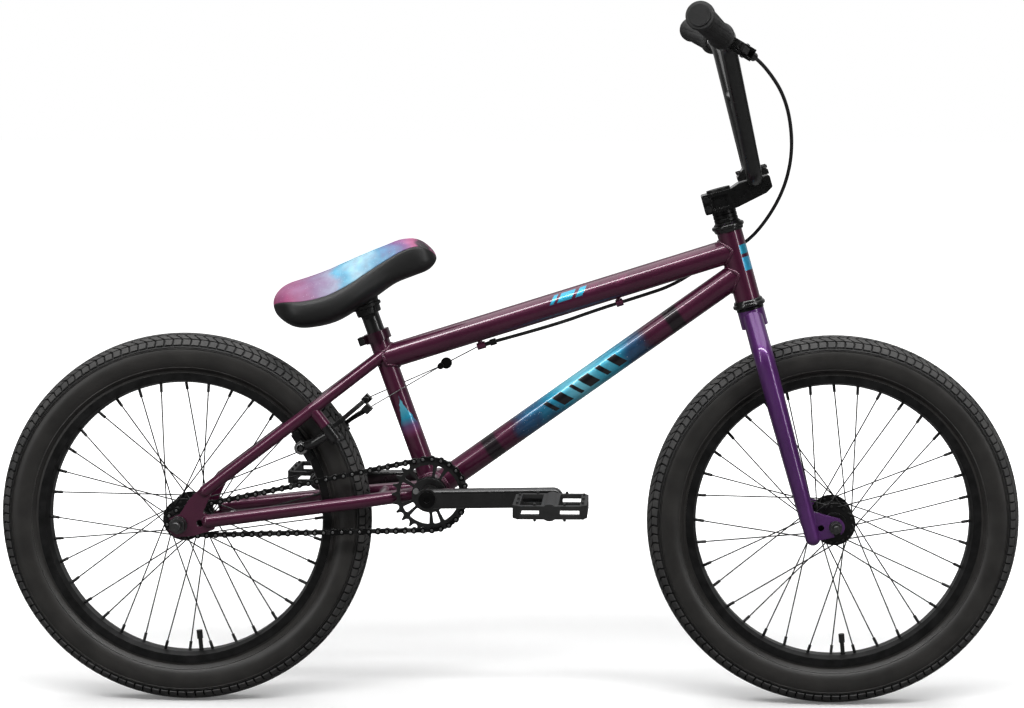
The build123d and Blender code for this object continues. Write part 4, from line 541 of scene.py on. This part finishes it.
finish_of = {
    "head_tube": head_paint, "top_tube": top_paint, "down_tube": down_paint, "seat_tube": seat_tube_paint,
    "bottom_bracket_shell": plum_paint, "rear_dropouts": plum_paint, "chainstays": plum_paint,
    "seatstays": plum_paint, "stay_fittings": plum_paint, "cable_guides": plum_paint,
    "barrel_adjuster": black_alloy, "headset_cups": forged_black, "frame_bearings": nut_steel,
    "seat_clamp": clamp_skin, "frame_bolts": black_steel, "seat_post": black_paint,
    "seat_base": black_plastic, "seat_cushion": black_plastic, "rear_axle": nut_steel,
    "chain_inner_links": chain_steel, "chain_outer_links": link_skin, "cable_housing": black_plastic,
    "fork_steerer": violet_paint, "fork_legs": violet_paint, "fork_dropouts": violet_paint,
    "headset_spacers": black_alloy, "stem": forged_black, "stem_bolts": black_steel,
    "handlebar": black_paint, "handlebar_crossbar": black_paint, "grips": grip_rubber,
    "bar_end_plugs": black_plastic, "lever_perch": forged_black, "lever_screws": screw_steel,
    "front_axle": nut_steel, "front_rim": black_alloy, "front_spokes": black_steel,
    "front_hub": black_alloy, "front_valve": black_plastic, "rear_rim": black_alloy,
    "rear_spokes": black_steel, "rear_hub": black_alloy, "rear_valve": black_plastic,
    "driver": black_steel, "crank_spindle": black_steel, "crank_arm_right": black_paint,
    "crank_arm_left": black_paint, "sprocket": black_paint, "crank_bolts": crank_bolt_skin,
    "pedal_axles": nut_steel, "pedal_right": pedal_plastic, "pedal_left": pedal_plastic,
    "brake_lever_blade": forged_black, "brake_arm_right": forged_black, "brake_pad_right": shoe_rubber,
    "brake_arm_left": forged_black, "brake_pad_left": shoe_rubber, "cable_hanger": hanger_skin,
}


def wear(piece, material):
    """Give a piece one material in place of any it has."""
    piece.data.materials.clear()
    piece.data.materials.append(material)
    return piece


for name, material in finish_of.items():
    for slot in nodes[name].material_slots:
        slot.material = material
    if not nodes[name].material_slots:
        nodes[name].data.materials.append(material)

# ---------------------------------------------------------------- tyres
BLOCKS = 126                        # tread blocks round the wheel
SECTION_MIDDLE = 234 * MM           # from the axle to the middle of the tyre's section
SECTION_RADIUS = 30 * MM
CASING = 5 * MM                     # how thick the tyre's wall is
GROOVE_DEPTH = 2.6 * MM


def ring_rows(centre, radius, left, spread):
    """Rings round a wheel's axle, from radii, distances to the left and angles round the axle."""
    return np.stack([centre[0] + radius * np.cos(spread), centre[1] + left + 0 * spread,
                     centre[2] + radius * np.sin(spread)], -1)


def tyre_surface(centre):
    """A tyre as a grid: places across the section by angle from the crown, and places round the wheel.

    Each block has a groove's floor, a wall and a flat top. The grooves lean by a share of a block's
    length that changes across the tread, so the blocks become parallelograms that lean both ways. The
    second result says how deep in the tread's grooves each point lies, from 0 to 1."""
    angle = [0, 1.6, 2.4, 5, 9, 13, 16.6, 17.4, 19.6, 20.4, 24, 28.5, 33, 36.6, 37.4, 39.6, 40.4, 45, 50,
             55, 57.4, 59.2, 61, 63.4, 64, 64.8, 65.4, 67, 67.6, 68.4, 69, 72, 78, 85, 92, 100, 108, 116,
             122, 126, 127, 128.2, 129.2, 134, 139, 143]
    floor = [1, 1, 0, 0, 0, 0, 0, 1, 1, 0, 0, 0, 0, 0, 1, 1, 0, 0, 0, 0, 0, 1, 1, 1]
    floor += [0.45, 0.45, 1, 1, 0.45, 0.45, 1] + [1] * 9 + [0.75, 0.75, 1, 1, 1, 1]
    half_angle = np.radians(angle)
    floor = np.array(floor, float)
    lean = smooth([0, 2, 17, 20, 37, 40, 58, 143], [0, 0, 0.55, 0.62, -0.05, -0.12, -0.12, -0.12],
                  np.array(angle))
    section = np.concatenate([-half_angle[:0:-1], half_angle])[:, None]
    sunk = np.concatenate([floor[:0:-1], floor])[:, None]
    leaning = np.concatenate([lean[:0:-1] + 0.5, [0.25], lean[1:]])[:, None]
    share = np.array([0.0, 0.14, 0.19, 0.38, 0.57, 0.76, 0.95])
    groove = np.array([1.0, 1.0, 0.0, 0.0, 0.0, 0.0, 0.0])
    round_wheel = (np.arange(BLOCKS)[:, None] + share).ravel()[None, :]
    cross_groove = np.tile(groove, BLOCKS)[None, :]
    on_tread = (np.abs(section) < math.radians(58.0)) * 1.0
    sunk = np.maximum(sunk, cross_groove * on_tread)
    reach = SECTION_RADIUS - GROOVE_DEPTH * sunk
    spread = (round_wheel + leaning) * TURN / BLOCKS
    outer = ring_rows(centre, SECTION_MIDDLE + reach * np.cos(section), reach * np.sin(section), spread)
    inside = np.radians([142.0, 120.0, 90.0, 55.0, 20.0, -20.0, -55.0, -90.0, -120.0, -142.0])[:, None]
    reach = SECTION_RADIUS - CASING
    spread = (round_wheel + 0.25) * TURN / BLOCKS
    inner = ring_rows(centre, SECTION_MIDDLE + reach * np.cos(inside), reach * np.sin(inside), spread)
    bead_radius, bead_left = vec(208.6, 207.4, 203.6)[:, None] * MM, vec(17.0, 15.5, 15.3)[:, None] * MM
    first_bead = ring_rows(centre, bead_radius, bead_left, spread)
    last_bead = ring_rows(centre, bead_radius[::-1], -bead_left[::-1], spread)
    on_wall = (np.abs(section) > math.radians(70.0)) * 1.0
    groove_mark = sunk * (1 - on_wall)
    plain = np.zeros((len(first_bead) + len(inner) + len(last_bead), groove_mark.shape[1]))
    return np.concatenate([outer, first_bead, inner, last_bead]), np.concatenate([groove_mark, plain])


for name, centre in (("front", front), ("rear", rear)):
    tyre_grid, tyre_mark = tyre_surface(centre)
    tyre = surface(f"{name}_tread", [tyre_grid], wrap=True, corner=30.0, mark=tyre_mark)
    wear(tyre, tyre_rubber(f"{name}_tyre_rubber", centre))
    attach(tyre, f"{name}_wheel")
    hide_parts(f"{name}_tyre")

# ---------------------------------------------------------------- saddle
SADDLE_TILT = math.radians(18.0)
PIVOT_RISE = 46 * MM                # from the seat tube's top to the saddle's pivot
POST_HEAD_DROP = 14 * MM            # from the pivot down to the socket's foot
saddle_pivot = seat_tube_top + seat_up * PIVOT_RISE
saddle_ahead = vec(math.cos(SADDLE_TILT), 0, math.sin(SADDLE_TILT))
saddle_up = vec(-math.sin(SADDLE_TILT), 0, math.cos(SADDLE_TILT))
# Along the saddle from its pivot, in millimetres: half width, crown, seam and under side at each place.
SADDLE_PLACES = [-124, -100, -70, -40, -10, 20, 50, 80, 105, 116]
SADDLE_HALF = [50, 65, 70, 67, 58, 45, 34, 28, 25, 23]
SADDLE_TOP = [57, 58, 57, 58, 61, 64, 66, 67, 60, 51]
SADDLE_SEAM = [43, 36, 28, 26, 30, 38, 46, 52, 51, 45]
SADDLE_UNDER = [12, -6, -14, -15, -8, 1, 10, 12, 12, 14]


def saddle_surface():
    """The padded cover: rings across the saddle from tail to nose. Each ring runs from the middle of the
    under side, out over the belly to the seam, and over the crown to the other side."""
    share = (1 - np.cos(np.linspace(0.02, 0.98, 110) * math.pi)) / 2
    place = SADDLE_PLACES[0] + share * (SADDLE_PLACES[-1] - SADDLE_PLACES[0])
    half, top, seam, under = (smooth(SADDLE_PLACES, table, place)[:, None]
                              for table in (SADDLE_HALF, SADDLE_TOP, SADDLE_SEAM, SADDLE_UNDER))
    end = (1 - np.abs(2 * share - 1) ** 10)[:, None] ** 0.5
    steps = [0.0, 0.12, 0.24, 0.36, 0.48, 0.58, 0.592, 0.604, 0.72, 0.86, 1.0]
    round_half = np.concatenate([np.linspace(first, last, 6, endpoint=False)
                                 for first, last in zip(steps[:-1], steps[1:])])
    across = smooth(steps, [0, 0.40, 0.76, 0.97, 1.0, 0.925, 0.908, 0.895, 0.72, 0.38, 0.0], round_half)
    below = smooth(steps[:7], [0, 0.02, 0.12, 0.36, 0.70, 0.99, 1.0], np.minimum(round_half, steps[6]))
    above = smooth(steps[6:], [0, 0.03, 0.52, 0.87, 1.0], np.maximum(round_half, steps[6]))
    height = under + (seam - under) * below + (top - seam) * above
    dip = 0.9 * np.exp(-((round_half - steps[6]) / 0.008) ** 2)
    width = half * across - dip
    middle = (seam + under) / 2
    height = middle + (height - middle) * end
    width = width * end
    right = np.stack([place[:, None] + 0 * width, -width, height], -1)
    left = right[:, :0:-1] * vec(1, -1, 1)
    grid = np.concatenate([right, left], 1) * MM
    grid = saddle_pivot + grid @ np.stack([saddle_ahead, across_bicycle, saddle_up])
    cover = (round_half > steps[6]) * 1.0
    mark = np.concatenate([cover, cover[:0:-1]])[None, :] + 0 * place[:, None]
    return grid, mark


def saddle_vinyl():
    """Vinyl: a printed sky on the top panel, plain black below the seam, with a fine leather grain."""
    made, tree, shader = finish("saddle_vinyl", roughness=0.42, specular=0.5)
    along = distance_along(tree, saddle_pivot, saddle_ahead)
    wave = times(tree, sums(tree, "SUBTRACT", noise(tree, 26.0, 6.0), 0.5), 0.075)
    share = fit(tree, sums(tree, "ADD", along, wave), -0.124, 0.116)
    sky = blend_of(tree, share, (0.0, (0.50, 0.07, 0.20)), (0.14, (0.34, 0.10, 0.22)),
                   (0.28, (0.26, 0.16, 0.30)), (0.38, (0.34, 0.36, 0.50)),
                   (0.45, (0.10, 0.42, 0.62)), (0.58, (0.38, 0.66, 0.78)),
                   (0.70, (0.10, 0.36, 0.56)), (0.80, (0.20, 0.11, 0.30)), (0.88, (0.42, 0.13, 0.28)),
                   (0.94, (0.45, 0.11, 0.24)), (0.965, (0.012, 0.010, 0.012)))
    dust = fit(tree, noise(tree, 90.0, 5.0), 0.35, 0.75)
    sky = mixed(tree, times(tree, dust, 0.35), sky, (0.16, 0.03, 0.12))
    star = fit(tree, cells(tree, 330.0), 0.12, 0.05)
    sky = mixed(tree, times(tree, star, 0.9), sky, (0.95, 0.92, 0.98))
    black = blend_of(tree, noise(tree, 30.0, 4.0), (0.3, grey(0.008)), (0.8, grey(0.015)))
    panel = node(tree, "ShaderNodeAttribute", attribute_name="mark").outputs["Fac"]
    tree.links.new(mixed(tree, fit(tree, panel, 0.4, 0.6), black, sky), shader.inputs["Base Color"])
    relief(tree, shader, cells(tree, 900.0), 0.22, 0.0003)
    return made


saddle_grid, saddle_mark = saddle_surface()
saddle = wear(surface("saddle_cover", [saddle_grid], corner=60.0, mark=saddle_mark), saddle_vinyl())
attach(saddle, "frame")
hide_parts("seat_cushion")

post_head = saddle_pivot - seat_up * POST_HEAD_DROP
boot_profile = vec(-6, 13.2, -6.2, 16.2, -5.2, 17.4, 2.8, 17.8, 3.6, 18.6, 4.0, 20.4, 7.8, 20.8, 8.8, 20.0,
                   9.2, 18.4, 12, 18.6, 18, 21, 26, 26, 30, 30, 36, 30, 36, 13.2).reshape(-1, 2) * MM
boot = wear(surface("saddle_socket", [turned(post_head, seat_up, boot_profile)], wrap=True), black_plastic)
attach(boot, "frame")
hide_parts("seat_base")

# ---------------------------------------------------------------- brake cable housing
HOUSING_DIAMETER = 5 * MM
housing_route = vec(334.9, -199.4, 916.0, 349.7, -175.7, 906.2, 382, -124, 862, 395, -72, 800,
                    389, -34, 745, 368, 6, 696, 336, 30, 655, 290, 30, 634, 234.8, 12, 597.7,
                    185.2, 0, 582.1, 128, 0, 564, 62.1, 0, 540.1, -17.6, 0, 518.1).reshape(-1, 3) * MM


def smooth_line(points):
    """The points of a smooth NURBS line whose control points are these."""
    curve = bpy.data.curves.new("route", "CURVE")
    curve.dimensions = "3D"
    spline = curve.splines.new("NURBS")
    spline.points.add(len(points) - 1)
    spline.points.foreach_set("co", np.c_[points, np.ones(len(points))].ravel())
    spline.order_u = 3
    spline.use_endpoint_u = True
    spline.resolution_u = 24
    holder = bpy.data.objects.new("route", curve)
    line = bpy.data.meshes.new_from_object(holder)
    path = corners_of(line)
    bpy.data.objects.remove(holder)
    bpy.data.curves.remove(curve)
    bpy.data.meshes.remove(line)
    return path


housing_path = smooth_line(housing_route)
housing_tube = tube_grid(housing_path, HOUSING_DIAMETER / 2, across_bicycle)
housing = surface("brake_housing", [housing_tube], corner=60.0)
jacket, jacket_tree, jacket_shader = finish("cable_jacket", roughness=0.28, coat=0.3, coat_roughness=0.2)
two_shades(jacket_tree, jacket_shader, noise(jacket_tree, 60.0), (0.3, grey(0.010)), (0.7, grey(0.018)))
wear(housing, jacket)
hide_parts("cable_housing")
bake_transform(housing)

# ---------------------------------------------------------------- grips
CLAMP_HEIGHT = (480.5 + 19) * MM    # the handlebar clamp, up the steering axis and ahead of it
STEM_REACH = 52 * MM
GRIP_LENGTH = 140 * MM
CHANNELS = 5                        # pairs of lengthwise channels round a grip
RIB_PITCH = 3.05                    # in millimetres
RIB_DEPTH = 0.75
bar_clamp = steer_foot + steer_up * CLAMP_HEIGHT + steer_ahead * STEM_REACH


def grip_surface(side):
    """A rubber grip: rings from its inner flange to its outer end. Its radius is a little smaller at the
    inner end, with shallow ribs cut into pads by lengthwise channels, and a plain rolled end."""
    knee = bar_clamp + vec(-44, side * 190, 186) * MM
    end = bar_clamp + vec(-44 - 39, side * 361, 186 + 29) * MM
    way = unit(end - knee)
    start = end - way * GRIP_LENGTH
    place = np.concatenate([[0, 0.5, 1.5, 3.5, 4.5], np.linspace(6, 128, 250),
                            [130, 131, 134, 137.5, 139, 140.4, 140.8]])
    body = smooth([0, 6, 40, 90, 128, 134, 141], [14.9, 15.0, 15.4, 16.2, 17.1, 17.6, 17.6], place)
    rim = 2.6 * np.interp(place, [0, 0.5, 1.5, 3.5, 5, 6], [0.3, 0.9, 1, 1, 0.5, 0])
    rolled = np.interp(place, [129, 131, 134, 139, 140.4, 140.8], [0, 0.8, 1.0, 0.8, 0.2, -0.6])
    angle = np.linspace(0, TURN, 120, endpoint=False)[None, :]
    on_body = (fitted(place, 6, 9) * fitted(place, 128, 125))[:, None]
    rib = np.clip(1.6 * np.sin(place * TURN / RIB_PITCH)[:, None], -1, 1) * 0.5 + 0.5
    channel = np.clip(2.2 * np.abs(np.sin(angle * CHANNELS + place[:, None] * 0.02)), 0, 1)
    radius = (body + rim + rolled)[:, None] - RIB_DEPTH * on_body * (1 - rib * channel)
    side_way = unit(np.cross(way, vec(0, 0, 1)))
    other = np.cross(way, side_way)
    line = start + way * place[:, None] * MM
    around = side_way * np.cos(angle)[..., None] + other * np.sin(angle)[..., None]
    outer = line[:, None] + radius[..., None] * MM * around
    bore_ends = vec(140.8, 0.0)
    inner = (start + way * bore_ends[:, None] * MM)[:, None] + BAR_BORE * around
    return np.concatenate([outer, inner])


grip_pieces = surface("rubber_grips", [grip_surface(-1), grip_surface(1)], wrap=True, corner=50.0)
wear(grip_pieces, grip_rubber)
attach(grip_pieces, "fork")
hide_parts("grips")

# ---------------------------------------------------------------- brake hardware
ANCHOR_PROFILE = (0, 0.5, 0, 7.2, 0.9, 8.2, 10.1, 8.2, 11, 7.2, 11, 0.5)
BOLT_PROFILE = (0, 0.5, 0, 4.4, 3.6, 4.4, 4.4, 3.7, 4.4, 0.5)
WASHER_PROFILE = (0, 3.1, 0, 8.4, 0.4, 8.8, 1.4, 8.8, 1.8, 8.4, 1.8, 5.8, 5.0, 5.4, 5.6, 4.8, 5.6, 2.4,
                  4.0, 2.2, 4.0, 0.5, 3.0, 0.5)


def round_piece(foot, way, profile, steps=40):
    """A turned piece from foot along way: the profile lists height and radius in millimetres. Few steps
    give a block or a hexagon."""
    return turned(foot, way, vec(*profile).reshape(-1, 2) * MM, steps)


for side, word in ((-1, "right"), (1, "left")):
    arm = nodes[f"brake_arm_{word}"]
    corners = corners_of(arm.data)
    across = side * across_bicycle
    tip = corners[corners[:, 0] > corners[:, 0].max() - 6 * MM].mean(0)
    heel = corners[corners[:, 0] < corners[:, 0].min() + 9 * MM]
    heel = vec(heel[:, 0].min() + 10 * MM, side * np.abs(heel[:, 1]).max(), heel[:, 2].mean())
    anchor = round_piece(tip - across * 7 * MM, across, ANCHOR_PROFILE, steps=4)
    anchor_bolt = round_piece(tip + across * 3.6 * MM, across, BOLT_PROFILE, steps=6)
    clamp = wear(surface(f"wire_anchor_{word}", [anchor, anchor_bolt], wrap=True), forged_black)
    washer = round_piece(heel - across * 0.6 * MM, across, WASHER_PROFILE)
    nut = wear(surface(f"shoe_washer_{word}", [washer], wrap=True), screw_steel)
    for piece in (clamp, nut):
        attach(piece, f"brake_arm_{word}")

# ---------------------------------------------------------------- headset cups
CUP_PROFILE = vec(0, 18.0, 0, 19.6, 1.2, 20.4, 3.0, 20.9, 4.4, 21.0, 4.9, 22.2, 6.4, 23.0, 8.4, 23.1,
                  9.9, 22.4, 10.6, 21.2, 10.9, 19.4, 10.9, 16.0, 0, 16.0).reshape(-1, 2) * MM
top_cup = turned(steer_foot + steer_up * HEAD_TOP, steer_up, CUP_PROFILE)
lower_cup = turned(steer_foot + steer_up * HEAD_BASE, -steer_up, CUP_PROFILE)
cups = wear(surface("headset_cup_shells", [top_cup, lower_cup], wrap=True), forged_black)
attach(cups, "frame")
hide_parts("headset_cups")

# ---------------------------------------------------------------- weld beads
BEAD_RADIUS = 2.1 * MM
RIPPLE = 2.6 * MM                   # from one ripple to the next


def weld_grid(start, end, radius, other_point, other_way, other_radius):
    """A rippled bead where a tube from start to end leaves the wall of another tube.

    For each angle round the tube, its surface line leaves the other tube's wall where a quadratic has its
    larger root; where the line misses the wall, the bead stays at the line's nearest point."""
    way = unit(end - start)
    other_way = unit(other_way)
    side = side_of(way)
    other = np.cross(way, side)
    angle = np.linspace(0, TURN, 420, endpoint=False)[:, None]
    spoke = side * np.cos(angle) + other * np.sin(angle)
    foot = start + radius * spoke - other_point
    flat_foot = foot - (foot @ other_way)[:, None] * other_way
    flat_way = way - (way @ other_way) * other_way
    square, half_middle = flat_way @ flat_way, flat_foot @ flat_way
    plain = (flat_foot ** 2).sum(1) - other_radius ** 2
    reach = (-half_middle + np.sqrt(np.maximum(half_middle ** 2 - square * plain, 0))) / square
    line = start + radius * spoke + reach[:, None] * way
    along = unit(np.roll(line, -1, 0) - np.roll(line, 1, 0))
    step = np.linalg.norm(np.roll(line, -1, 0) - line, axis=1)
    travel = np.concatenate([[0], np.cumsum(step)[:-1]])
    turns = max(1, round(step.sum() / RIPPLE))
    wave = 0.5 + 0.5 * np.abs(np.cos(travel / step.sum() * turns * math.pi))
    out = unit(spoke - (spoke * along).sum(1, keepdims=True) * along)
    across = np.cross(along, out)
    size = BEAD_RADIUS * (0.72 + 0.30 * wave)[:, None, None]
    round_bead = np.linspace(0, TURN, 10, endpoint=False)[None, :, None]
    return line[:, None] + size * (out[:, None] * 0.9 * np.cos(round_bead)
                                   + across[:, None] * 1.25 * np.sin(round_bead))


seat_tube_line = (bottom_bracket, seat_up, SEAT_TUBE)
head_tube_line = (steer_foot, steer_up, HEAD_TUBE)
shell_line = (bottom_bracket, across_bicycle, SHELL_TUBE)
frame_welds = [
    weld_grid(top_tube_rear, top_tube_front, MAIN_TUBE, *seat_tube_line),
    weld_grid(top_tube_front, top_tube_rear, MAIN_TUBE, *head_tube_line),
    weld_grid(down_tube_front, bottom_bracket, MAIN_TUBE, *head_tube_line),
    weld_grid(bottom_bracket, down_tube_front, MAIN_TUBE, *shell_line),
    weld_grid(bottom_bracket, seat_tube_top, SEAT_TUBE, *shell_line),
]
beads = wear(surface("frame_weld_beads", frame_welds, wrap=True, corner=60.0), plum_paint)
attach(beads, "frame")

# ---------------------------------------------------------------- camera, floor and light
CAMERA_HEADING, CAMERA_RISE, CAMERA_ROLL = (math.radians(value) for value in (0.912, 5.262, 0.125))
CAMERA_PLACE = vec(0.2089, -3.1075, 0.8816)
LENS_LENGTH = 77.79
ROOM_FRONT, ROOM_BACK = 0.03, 0.40  # the room's brightness before and behind the bicycle
FLOOR_REACH = 30.0
FLOOR_HEIGHT = -0.0005
# Each lamp has its place, the point that it faces, its two sides and its power.
LAMPS = {
    "overhead_softbox": ((0.0, 0.3, 4.0), (0.0, 0.0, 0.0), (6.0, 4.0), 150.0),
    "strip_light": ((0.0, -1.9, 2.9), (0.0, 0.0, 0.4), (5.0, 0.35), 90.0),
    "side_strip": ((-2.6, -2.6, 1.4), (0.0, 0.0, 0.5), (0.35, 2.4), 22.0),
    "front_strip": ((2.8, -2.2, 1.4), (0.0, 0.0, 0.5), (0.35, 2.4), 22.0),
}


def stand(thing, place, right, up, back):
    """Put a camera or lamp in the scene at a place, with its own axes along three directions."""
    turn = Matrix(np.stack([right, up, back], 1).tolist()).to_4x4()
    thing.matrix_world = Matrix.Translation(place.tolist()) @ turn
    bpy.context.scene.collection.objects.link(thing)


def add_camera():
    """A long lens from the rider's right, a little above, shifted to hold the whole bicycle."""
    lens = bpy.data.cameras.new("camera")
    lens.lens = LENS_LENGTH
    lens.shift_x = -0.1070
    lens.shift_y = -0.0655
    lens.clip_end = 100.0
    camera = bpy.data.objects.new("camera", lens)
    level = math.cos(CAMERA_RISE)
    look = -vec(math.sin(CAMERA_HEADING) * level, -math.cos(CAMERA_HEADING) * level, math.sin(CAMERA_RISE))
    right = unit(np.cross(look, vec(0, 0, 1)))
    up = np.cross(right, look)
    right, up = (right * math.cos(CAMERA_ROLL) + up * math.sin(CAMERA_ROLL),
                 up * math.cos(CAMERA_ROLL) - right * math.sin(CAMERA_ROLL))
    stand(camera, CAMERA_PLACE, right, up, -look)
    bpy.context.scene.camera = camera


def add_light(name, place, target, size, power):
    """A soft rectangular light that faces a point."""
    lamp = bpy.data.lights.new(name, "AREA")
    lamp.shape = "RECTANGLE"
    lamp.size, lamp.size_y = size
    lamp.energy = power
    made = bpy.data.objects.new(name, lamp)
    back = unit(vec(*place) - vec(*target))
    side = unit(np.cross(vec(0, 0, 1) if abs(back[2]) < 0.99 else vec(0, 1, 0), back))
    stand(made, vec(*place), side, np.cross(back, side), back)


def add_room():
    """A white room for the camera that lights the bicycle softly: brighter behind it than in front."""
    room = bpy.data.worlds.new("white_room")
    room.use_nodes = True
    tree = room.node_tree
    ahead = node(tree, "ShaderNodeSeparateXYZ", {0: node(tree, "ShaderNodeTexCoord").outputs["Generated"]})
    glow = node(tree, "ShaderNodeMapRange", {"Value": ahead.outputs["Y"], "From Min": 0.0, "From Max": 0.8,
                                             "To Min": ROOM_FRONT, "To Max": ROOM_BACK})
    seen = node(tree, "ShaderNodeLightPath").outputs["Is Camera Ray"]
    strength = sums(tree, "MAXIMUM", glow.outputs["Result"], seen)
    backdrop = tree.nodes["Background"]
    backdrop.inputs["Color"].default_value = (1.0, 1.0, 1.0, 1.0)
    tree.links.new(strength, backdrop.inputs["Strength"])
    bpy.context.scene.world = room


def add_floor():
    """A pale floor that glows more with distance, so that it runs into the white of the room. It sends
    only a little light back up, as a floor does that stands far below the lamps."""
    mesh = bpy.data.meshes.new("floor")
    corners = [(along * FLOOR_REACH, across * FLOOR_REACH, FLOOR_HEIGHT)
               for along, across in ((-1, -1), (1, -1), (1, 1), (-1, 1))]
    mesh.from_pydata(corners, [], [(0, 1, 2, 3)])
    floor = bpy.data.objects.new("floor", mesh)
    bpy.context.scene.collection.objects.link(floor)
    skin, tree, shader = finish("pale_floor", roughness=0.9, specular=0.0)
    seen = node(tree, "ShaderNodeLightPath").outputs["Is Camera Ray"]
    pale = blend_of(tree, noise(tree, 2.0), (0.0, grey(0.90)), (1.0, grey(0.92)))
    tree.links.new(mixed(tree, seen, grey(0.14), pale), shader.inputs["Base Color"])
    away = node(tree, "ShaderNodeVectorMath", {0: place_of(tree)}, operation="LENGTH").outputs["Value"]
    glow = node(tree, "ShaderNodeMapRange", {"Value": away, "From Min": 0.8, "From Max": 1.6,
                                             "To Min": 0.10, "To Max": 1.0}).outputs["Result"]
    shader.inputs["Emission Color"].default_value = (1.0, 1.0, 1.0, 1.0)
    tree.links.new(times(tree, glow, seen), shader.inputs["Emission Strength"])
    mesh.materials.append(skin)


add_camera()
bpy.context.scene.view_settings.view_transform = "Standard"
add_room()
add_floor()
for name, settings in LAMPS.items():
    add_light(name, *settings)
